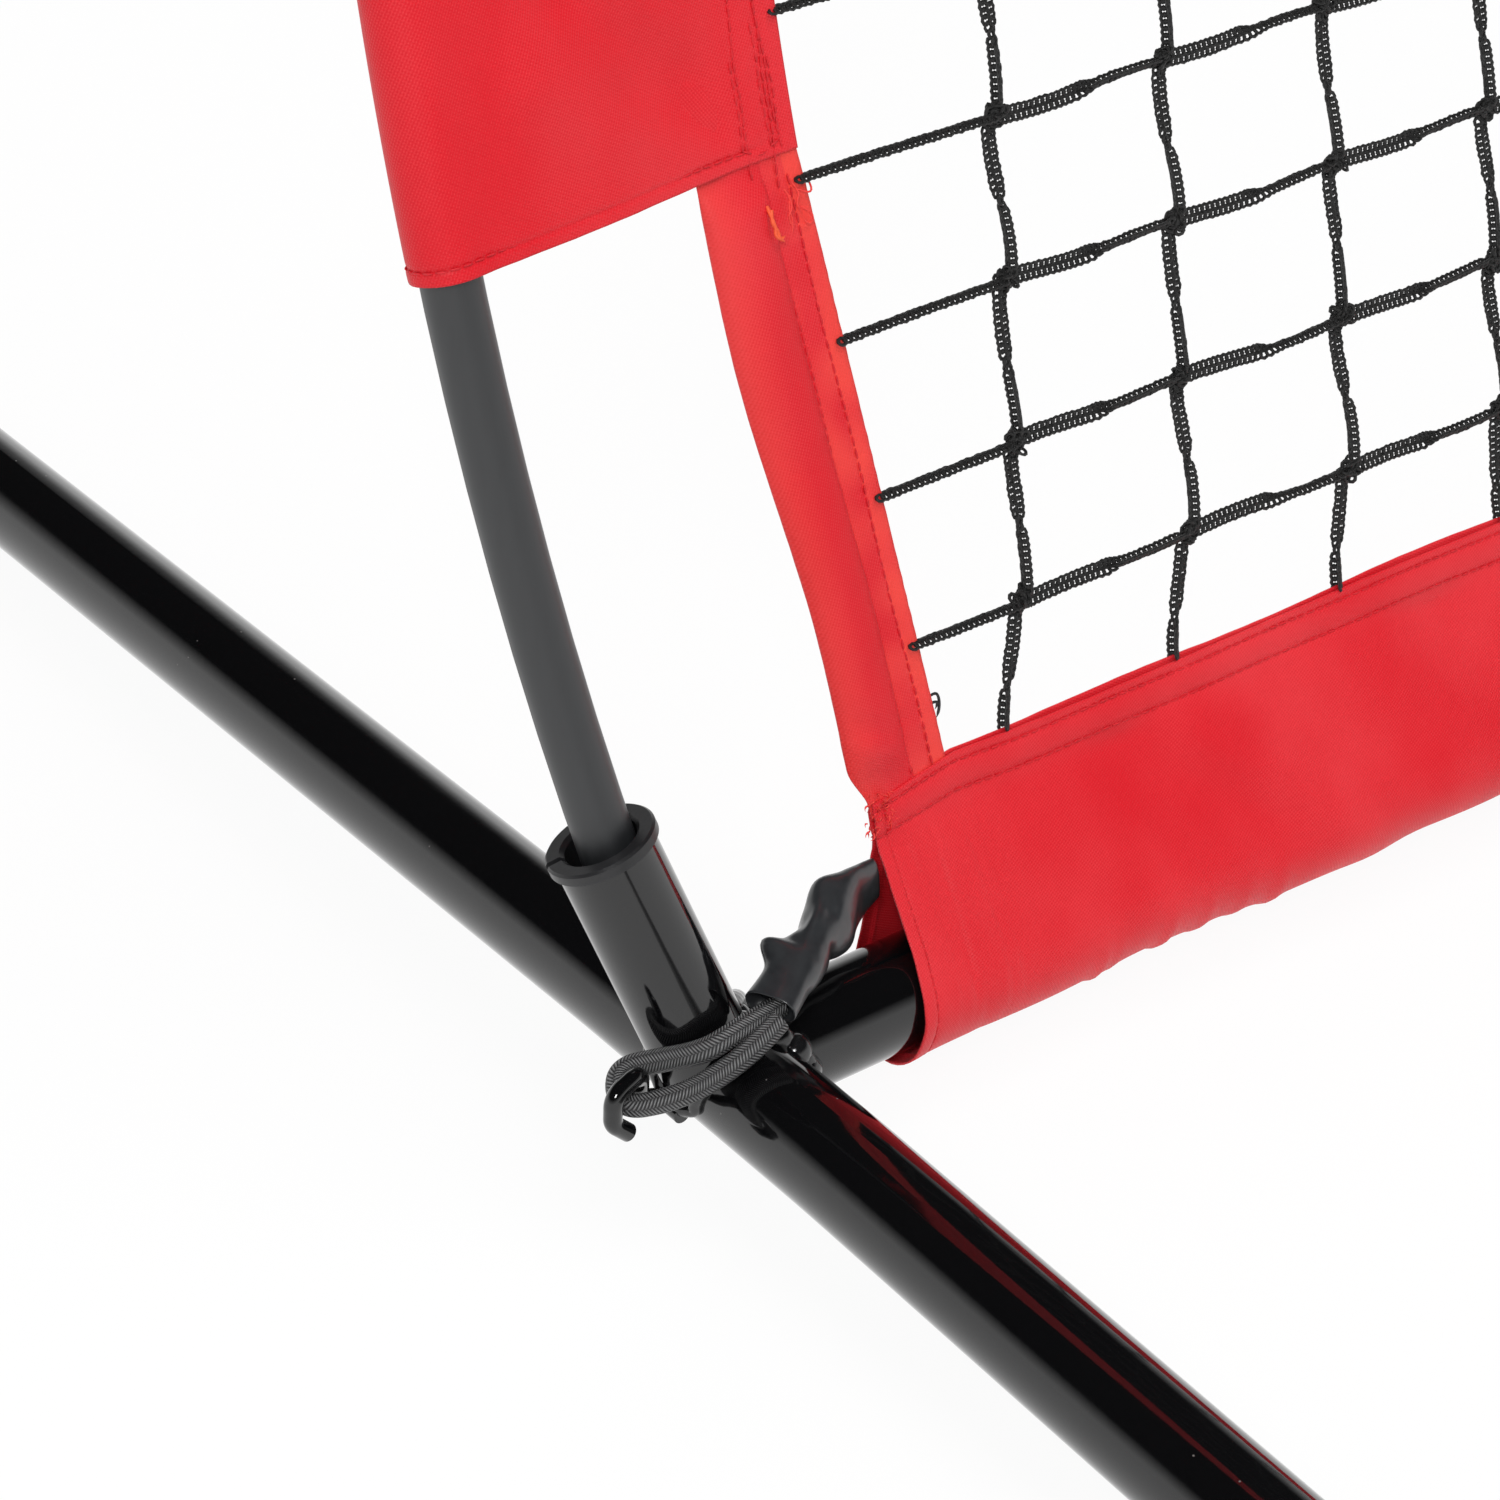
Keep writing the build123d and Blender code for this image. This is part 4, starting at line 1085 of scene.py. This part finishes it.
def shrinkRows(cfg, side):
    known = np.array(cfg["rings"])
    middle = spots(known[:, :3], side)
    reach = lengthsOf(middle)
    at = np.linspace(0, reach[-1], int(reach[-1] / (cfg["step"] * mm)))
    line = onLine(at, reach, middle)
    width, depth, square = (np.interp(at, reach, known[:, k]) for k in (3, 4, 5))
    for value, rounds in ((line, 6), (width, 3), (depth, 3)):
        for _ in range(rounds):
            value[1:-1] = (value[:-2] + 2 * value[1:-1] + value[2:]) / 4
    tangent = unit(np.gradient(line, axis=0))
    level = unit(np.stack([-tangent[:, 1], tangent[:, 0], np.zeros(len(line))], 1)) * side
    rise = np.cross(level, tangent) * side
    angle = ringAngles(cfg["around"])
    c, s = np.cos(angle)[None, :], np.sin(angle)[None, :]
    power = 1 - 0.45 * square[:, None]
    x = np.sign(c) * np.abs(c) ** power * width[:, None]
    y = np.sign(s) * np.abs(s) ** power * depth[:, None]
    share = (at / at[-1])[:, None]
    swell = np.zeros_like(x)
    for place, turn, reachAlong, reachRound, height in cfg["bumps"]:
        off = np.abs((angle - math.radians(turn) + math.pi) % (2 * math.pi) - math.pi)
        swell = swell + height * bell(share, place, reachAlong) * bell(off, 0, reachRound)
    places = skinOn(line, level, rise, x * mm, y * mm)
    lumps = flutter(places, cfg["lumpSize"], 12.5 + side)
    ripple = flutter(places, cfg["rippleSize"], 4.5 + side)
    swell = swell + (cfg["lump"] * lumps + 0.1 * ripple) * smooth(0.12, 0.3, share)
    places = places + swell[..., None] * unit(places - line[:, None, :]) * mm

    def closing(end, pairs):
        return [line[end] + (places[end] - line[end]) * size + tangent[end] * away * mm for size, away in pairs]

    places = np.concatenate([closing(0, ((0.8, 4.0), (0.93, -0.15))), places,
                             closing(-1, ((0.9, 0.25), (0.5, 0.3), (0.05, 0.0)))])
    along = np.concatenate([[-0.004, -0.0002], at, at[-1] + np.array([0.0003, 0.001, 0.002])])
    return places, np.linspace(0, 0.04, cfg["around"] + 1), along


for side, label in sides:
    rows, around, along = shrinkRows(shrinkSleeve, side)
    tube = gridPiece(label + "_shrink_tube", rows, finishes["shrink"], around, along, closed=True)
    done(tube, "shrink_tube", label + "_shrink_sleeve")
print("shrink sleeves")

# weld beads: rippled, lumpy fillets where the tubes meet

welds = {
    "around": 18, "step": 0.6, "ripple": 2.6, "swellSize": 0.012, "roughSize": 0.005,
    "barRadius": 3.2, "socketRadius": 2.2, "legRadius": 1.4,
    "leg": [(-14.6, -2.6, -1.9), (-14.6, 1.0, -1.8), (-14.6, 3.6, -1.9)],
    # drops beside the beads: x, y, z from the junction, and radius
    "lumps": [(13.4, -13.4, 2.5, 4.6), (11.8, -11.8, 7.6, 4.8), (8.0, -9.2, 11.4, 4.6), (14.0, -10.8, 8.2, 2.8),
              (-7.8, -11.4, 10.4, 2.4), (-5.0, -12.4, 11.6, 1.9)],
}


def roughened(skin, middle, size, seed, amount):
    return middle + (skin - middle) * (1 + amount * flutter(skin, size, seed)[..., None])


def beadAlong(name, line, radius, seed):
    places, at = evenly(line, welds["step"] * mm)
    one, two = ringsAlong(places, (0.3, 0.2, 0.9))
    angle = ringAngles(welds["around"])
    wave = 0.5 + 0.5 * np.sin(2 * math.pi * at / (welds["ripple"] * mm) + 0.6 * np.sin(at * 900 + seed))
    body = radius * (0.97 + 0.03 * wave) + 0.5 * flutter(places, welds["swellSize"], seed)
    body = (body * np.clip(np.minimum(at, at[-1] - at) / (0.8 * mm) + 0.15, 0, 1) * mm)[:, None]
    skin = roughened(skinOn(places, one, two, body * np.cos(angle), body * np.sin(angle)),
                     places[:, None, :], welds["roughSize"], seed + 3.0, 0.07)
    caps = [places[end] + (skin[end] - places[end]) * 0.02 for end in (0, -1)]
    return gridPiece(name, np.concatenate([caps[:1], skin, caps[1:]]), finishes["weld"],
                     np.linspace(0, 0.01, welds["around"] + 1), np.concatenate([[0], at, [at[-1]]]), closed=True)


def seamRing(side):
    # where the socket meets the foot tube, traced by going round the socket
    axis = np.array([-math.sin(layout["socketOut"]), math.cos(layout["socketOut"]) * leanSin,
                     math.cos(layout["socketOut"]) * leanCos])
    one = np.array([0, leanCos, -leanSin])
    two = np.cross(axis, one)
    foot, radius = layout["tubeRadius"] + 0.3, layout["socketRadius"] + 0.35
    line = []
    for t in np.linspace(0, 2 * math.pi, 90):
        origin = np.array([layout["socketShift"], 0, 0]) + radius * (math.cos(t) * one + math.sin(t) * two)
        inside = solve(lambda reach: np.hypot(*(origin + axis * reach)[[0, 2]]) < foot, 0.0, 60.0)
        line.append(origin + axis * inside)
    return nearJunction(line, side)


def lumpOf(place, radius, seed, side):
    # a spatter-smooth drop of weld metal
    centre = nearJunction([place], side)[0]
    turns, heights = ringAngles(14), np.linspace(0.02, math.pi - 0.02, 11)
    rows = np.array([[(math.sin(h) * math.cos(t), math.sin(h) * math.sin(t), math.cos(h)) for t in turns]
                     for h in heights])
    return roughened(centre + rows * radius * mm, centre, 0.004, seed, 0.12)


def weldSeams(side, label):
    # the crossbar meets the foot tube in two mitred arcs
    r = layout["tubeRadius"] + 0.35
    front = [(r * abs(math.cos(t)), -r * abs(math.cos(t)), r * math.sin(t))
             for t in np.radians(np.linspace(-86, 86, 60))]
    behind = [(x, -y, z) for x, y, z in front]
    pieces = [
        beadAlong(label + "_bead_front", nearJunction(front, side), welds["barRadius"], 2.0 + side),
        beadAlong(label + "_bead_behind", nearJunction(behind, side), welds["barRadius"], 5.0 + side),
        beadAlong(label + "_bead_socket", seamRing(side), welds["socketRadius"], 8.0 + side),
        beadAlong(label + "_bead_leg", nearJunction(welds["leg"], side), welds["legRadius"], 11.0 + side),
    ]
    for index, (x, y, z, radius) in enumerate(welds["lumps"]):
        skin = lumpOf((x, y, z), radius, index + side, side)
        pieces.append(gridPiece(f"{label}_lump_{index}", skin, finishes["weld"], np.linspace(0, 0.01, 15),
                                np.linspace(0, 0.005, 11), closed=True))
    return joined(label + "_weld_bead", pieces)


def joined(name, pieces):
    # several meshes kept as one piece
    for other in bpy.context.view_layer.objects:
        other.select_set(False)
    for piece in pieces:
        piece.select_set(True)
    bpy.context.view_layer.objects.active = pieces[0]
    bpy.ops.object.join()
    whole = bpy.context.view_layer.objects.active
    whole.name = whole.data.name = name
    whole.select_set(False)
    return whole


for side, label in sides:
    done(weldSeams(side, label), "black_steel", label + "_weld_beads")
print("weld beads")

# webbing tabs that carry each shrink sleeve, folded inside the bottom sleeve's corner

netTab = {"start": (58.0, 33.4), "end": (80.5, 51.5), "width": 9.0, "thickness": 1.1}


def tabRows(cfg, side):
    t, turns = np.linspace(0, 1, 14), ringAngles(20)
    start, along = np.array(cfg["start"]), np.subtract(cfg["end"], cfg["start"])
    across = np.array([-along[1], along[0]]) / np.linalg.norm(along)
    wide = cfg["width"] / 2 * (0.62 + 0.38 * smooth(0, 0.4, t))[:, None]
    x = np.sign(np.cos(turns)) * np.abs(np.cos(turns)) ** 0.5
    y = np.sign(np.sin(turns)) * np.abs(np.sin(turns)) ** 0.7
    base = np.zeros((len(t), len(turns), 3))
    base[..., :2] = start + along * t[:, None, None] + (x * wide)[..., None] * across
    base[..., 2] = y * cfg["thickness"] / 2 * (1 + 0.1 * np.sin(x * 9)) + 0.15 * np.sin(t * 7)[:, None]
    return laid(base, side), np.linspace(0, 0.02, 21), t * 0.03


for side, label in sides:
    rows, around, along = tabRows(netTab, side)
    tab = gridPiece(label + "_webbing_tab", rows, finishes["webbing"], around, along, closed=True)
    done(tab, "black_webbing", label + "_net_tab")
print("webbing tabs")

# stitching: thread laid on the cloth in rows, with back-tacks

stitching = {
    "sizes": {"Pitch": 0.0032, "Length": 0.00145, "Thickness": 0.00033, "Seed": 3},
    "proud": 0.462, "step": 1.45,
}
stitchTree = growingTree("stitchRows", stitching["sizes"], buildStitches)


def sleeveSeam(fromEdge, start, end, wander, seed):
    # a row down the side sleeve, from start to end along the bow
    s = np.arange(start, end, stitching["step"])
    wobble = wander * np.sin(s / 19.0 + seed) + 0.25 * np.sin(s / 4.1 + seed)
    return onBow(s, layout["panelEdge"] - fromEdge + wobble)


def onBow(lengths, inward):
    # lengths along the bow and distances in from it, to places in the leaning frame
    return np.array([(*bow(s, i)[:2], 0.0) for s, i in zip(lengths, inward)])


def onBoth(path, lift):
    # the row on the cloth's front and again on its back
    return [path + (0, 0, lift), path - (0, 0, lift)]


def hemPath(lift):
    # along the side sleeve's bottom hem, front and back and round the pocket
    edge = layout["panelEdge"]
    section = pocketSection(edge, edge - sideSleeve["sewn"], sideSleeve["pocket"] + lift,
                            sideSleeve["layerGap"] + lift, (0, 6, 12, 16.2), *sideSleeve["cuts"])
    inward, out = section[section[:, 0] < edge - sideSleeve["seams"][0]].T
    path = onBow(panelS + sideSleeve["hem"] + 0.25 * np.sin(inward / 5.0), inward)
    path[:, 2] = out
    return path


def stitchRows(side):
    lift, rows, step = sideSleeve["layerGap"] + 0.12, [], stitching["step"]
    for fromEdge, start, wander, seed in ((13.5, -9.5, 0.5, 0.3), (6.7, -7.0, 0.6, 2.0), (5.1, 3.0, 0.8, 4.1)):
        rows += onBoth(sleeveSeam(fromEdge, panelS + start, topS - 5, wander, seed), lift)
    # back-tacks beside the long rows, and one across them
    for fromEdge, start, end, seed in ((14.9, 5.0, 26, 0.9), (7.9, 4.5, 34, 3.3), (4.0, 8.0, 24, 6.0)):
        rows += onBoth(sleeveSeam(fromEdge, panelS + start, panelS + end, 0.5, seed), lift + 0.1)
    t = np.linspace(-1, 1, 9)
    rows += onBoth(onBow(panelS + 3.4 + 1.6 * (abs(t) - 1), layout["panelEdge"] - 10.2 + 4.0 * t), lift + 0.1)
    rows.append(hemPath(0.25))
    v = np.arange(cornerStrip["bottom"] + 3, 210, step)
    outer, inner = np.transpose([stripEdges(value) for value in v])
    for share in cornerStrip["seams"]:
        u = inner - (1 - share) * (inner - outer) + 0.3 * np.sin(v / 11 + share * 9)
        rows += onBoth(np.stack([u, v, 0 * v], 1), cornerStrip["flat"] + 0.06)
    top, u = bottomSleeve["top"], np.arange(layout["hemU"] + 4, span / 2 + 2, step)
    for seam in bottomSleeve["seams"]:
        v = top - seam + (topEdge(u) - top) * (1 - seam / (top + 2)) + 0.25 * np.sin(u / 9.0)
        rows += onBoth(np.stack([u, v, 0 * u], 1), bottomSleeve["topGap"] + 0.2)
    u = np.arange(edgeU(bandTop) + 2, span / 2 + 2, step)
    for seam in topBand["seams"]:
        rows += onBoth(np.stack([u, 0 * u + bandTop - seam, 0 * u], 1), topBand["gap"] * 0.5 + 0.3)
    return [spots(row, side) for row in rows]


def bottomHemPath():
    # the stitched row beside the bottom sleeve's open end, read off the cloth itself
    cloth, _, stations = bottomGrid
    row = int(np.argmin(np.abs(stations - (layout["hemU"] + bottomSleeve["hem"]) * mm)))
    line = cloth[row][14:-14]
    outward = unit((line - line.mean(axis=0)) * (0, 1, 1))
    return line + outward * stitching["proud"] * mm


for side, label in sides:
    rows = stitchRows(side)
    rows.append(bottomHemPath() * (-side, 1, 1))
    sewn = grow(label + "_stitching", rows, stitchTree, stitching["sizes"], finishes["thread"])
    done(sewn, "red_oxford")
    print("stitches", len(sewn.data.polygons))

# loose thread ends and frayed cloth at the corner

looseEnds = {
    "orange": [((47.6, 205.5, 2.6), (47.4, 203.0, 4.2), (48.0, 200.5, 4.3), (47.4, 198.6, 4.6), (49.2, 197.2, 4.4),
                (50.6, 197.8, 3.9)),
               ((48.2, 204.5, 3.4), (46.9, 202.0, 4.4), (48.6, 199.6, 4.2), (48.4, 197.6, 4.6), (50.0, 196.6, 4.4))],
    "pale": [((57.5, 207, 1.2), (59.8, 205.2, 2.6), (61.8, 206.0, 1.6), (60.8, 208.6, 1.2)),
             ((57.0, 203, 1.4), (60.0, 201.0, 2.4), (60.6, 198.4, 1.8), (58.6, 197.8, 1.8), (57.4, 200.0, 2.4)),
             ((55.0, 206, 1.8), (52.8, 203.5, 3.4), (54.4, 200.5, 2.6), (53.0, 197.5, 3.2)),
             ((53.5, 208, 2.0), (55.2, 204.0, 2.9), (52.0, 201.6, 3.4), (54.0, 198.8, 2.9)),
             ((56.0, 209, 1.4), (57.8, 206.2, 2.4), (55.6, 203.8, 2.4), (57.4, 201.4, 2.0))],
    "black": [((75.0, 72.4, 0.2), (77.0, 73.2, 0.6), (77.9, 71.0, 0.4), (77.3, 68.0, 0.5), (76.2, 66.4, 0.4)),
              ((75.2, 70.6, 0.3), (76.9, 70.8, 0.8), (77.2, 69.4, 0.2), (76.0, 68.8, 0.6))],
}
threadSizes = {"orange": 0.46, "pale": 0.26, "black": 0.4, "tuft": 0.25, "step": 0.6}


def threadTube(name, points, radius, material, side, around=6):
    line, at = evenly(routeLine(name + "Route", spots(points, side)), threadSizes["step"] * mm)
    one, two = ringsAlong(line, (0.2, 0.9, 0.3))
    angle = ringAngles(around)
    size = radius * (1 - 0.85 * smooth(at[-1] - 0.0015, at[-1], at))[:, None] * mm
    skin = skinOn(line, one, two, size * np.cos(angle), size * np.sin(angle))
    return gridPiece(name, skin, material, np.linspace(0, 0.002, around + 1), at, closed=True)


def frayed(label, side):
    # short cut yarns bunched where the strip, the hem and the bottom sleeve's corner are caught together
    chance = np.random.default_rng(77)
    tufts = []
    for index in range(40):
        u, v = chance.uniform(50.5, 60.0), chance.uniform(44.5, 54.0)
        n = chance.uniform(0.4, 2.4)
        swing = chance.uniform(-1, 1, 3) * (1.7, 1.5, 0.7)
        end = np.array([u, v, n]) + swing + (-0.8, 0.2, 0.9)
        bend = (np.array([u, v, n]) + end) / 2 + chance.uniform(-0.9, 0.9, 3)
        tufts.append(threadTube(f"{label}Tuft{index}", [(u, v, n), bend, end], threadSizes["tuft"],
                                finishes["pale"], side, 4))
    return tufts


for side, label in sides:
    ends = []
    for colour, routes in looseEnds.items():
        for index, points in enumerate(routes):
            ends.append(threadTube(f"{label}_{colour}_{index}", points, threadSizes[colour], finishes[colour],
                                   side))
    ends += frayed(label, side)
    done(joined(label + "_loose_ends", ends), "red_oxford")
print("loose ends")

# the flat springs under the snap buttons: a copy of each CAD spring, finished in zinc, in place of the node


def springStrip(label):
    name = label + "_button_spring"
    node = frame["nodes"][name]
    strip = placed(label + "_spring_strip", node.data.copy())
    strip.data.name = strip.name
    strip.data.materials.clear()
    strip.data.materials.append(finishes["zinc"])
    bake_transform(strip)
    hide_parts(name)


for label in ("left", "middle", "right"):
    springStrip(label)
print("button springs")

# the CAD nodes that show keep their shape and get their finishes

nodeFinish = {
    "enamel": ("foot_tube", "crossbar_stub", "crossbar_tube", "socket_tube", "net_hook"),
    "fibre": ("lower_pole", "middle_pole", "upper_pole"),
    "plastic": ("socket_bush", "pole_plug", "pole_tip_cap"),
    "rubber": ("foot_cap",),
    "zinc": ("ferrule", "snap_button", "button_spring"),
    "braid": ("shock_cord",),
}
for name, node in frame["nodes"].items():
    for finish, words in nodeFinish.items():
        if any(word in name for word in words):
            node.data.materials.clear()
            node.data.materials.append(finishes[finish])
print("CAD nodes finished")

# the stage: white floor, white surroundings and three lamps

stage = {"floor": 7.0, "shine": 0.93, "ambient": 0.46, "dark": 0.01, "horizon": (0.10, 0.42)}


def eitherRay(rays, first, second):
    return rays.maths("MAXIMUM", rays.pick(first), rays.pick(second))


def buildWorld():
    # white all round as seen directly; in gloss it darkens overhead, as under a studio ceiling
    world = bpy.data.worlds.new("studio")
    bpy.context.scene.world = world
    tree = emptyTree(world)
    rays = addNode(tree, "ShaderNodeLightPath")
    height = addNode(tree, "ShaderNodeSeparateXYZ", None, {
        "Vector": addNode(tree, "ShaderNodeTexCoord").pick("Generated")}).pick("Z")
    overhead = height.within(*stage["horizon"])
    glossy = 1.0 - overhead * (1.0 - stage["dark"])
    seen = eitherRay(rays, "Is Camera Ray", "Is Transmission Ray")
    strength = seen + (1.0 - seen) * (rays.pick("Is Glossy Ray") * glossy
                                      + (1.0 - rays.pick("Is Glossy Ray")) * stage["ambient"])
    background = addNode(tree, "ShaderNodeBackground", None, {"Color": (1, 1, 1, 1), "Strength": strength})
    addNode(tree, "ShaderNodeOutputWorld", None, {"Surface": background})


def buildFloor():
    material = bpy.data.materials.new("floorWhite")
    tree = emptyTree(material)
    rays = addNode(tree, "ShaderNodeLightPath")
    seen = eitherRay(rays, "Is Camera Ray", "Is Glossy Ray")
    seen = seen.maths("MAXIMUM", seen, rays.pick("Is Transmission Ray"))
    plain = addNode(tree, "ShaderNodeBsdfDiffuse", None, {"Color": (0.9, 0.9, 0.9, 1.0)})
    glow = addNode(tree, "ShaderNodeEmission", None, {"Color": (1, 1, 1, 1), "Strength": 1.0})
    mixed = addNode(tree, "ShaderNodeMixShader", None, [seen * stage["shine"], plain, glow])
    addNode(tree, "ShaderNodeOutputMaterial", None, {"Surface": mixed})
    r = stage["floor"]
    floor = meshPiece("floor", [(-r, -r, 0), (r, -r, 0), (r, r, 0), (-r, r, 0)], [(0, 1, 2, 3)], material)


def lamp(name, place, target, size, power):
    light = bpy.data.lights.new(name, "AREA")
    light.energy, light.size = power, size
    body = placed(name, light)
    body.location = place
    body.rotation_euler = (Vector(target) - Vector(place)).to_track_quat("-Z", "Y").to_euler()
    body.visible_glossy = name == "softBox"


buildWorld()
buildFloor()
for settings in (
    {"name": "softBox", "place": (-2.6, -2.2, 2.6), "target": (-0.4, 0, 0.3), "size": 0.9, "power": 58},
    {"name": "overhead", "place": (0.2, -0.8, 3.4), "target": (0, 0, 0.4), "size": 2.4, "power": 56},
    {"name": "rear", "place": (1.2, 2.8, 2.4), "target": (0, 0, 0.6), "size": 2.0, "power": 30},
):
    lamp(**settings)
bpy.context.scene.view_settings.view_transform = "Standard"
print("stage and lights")
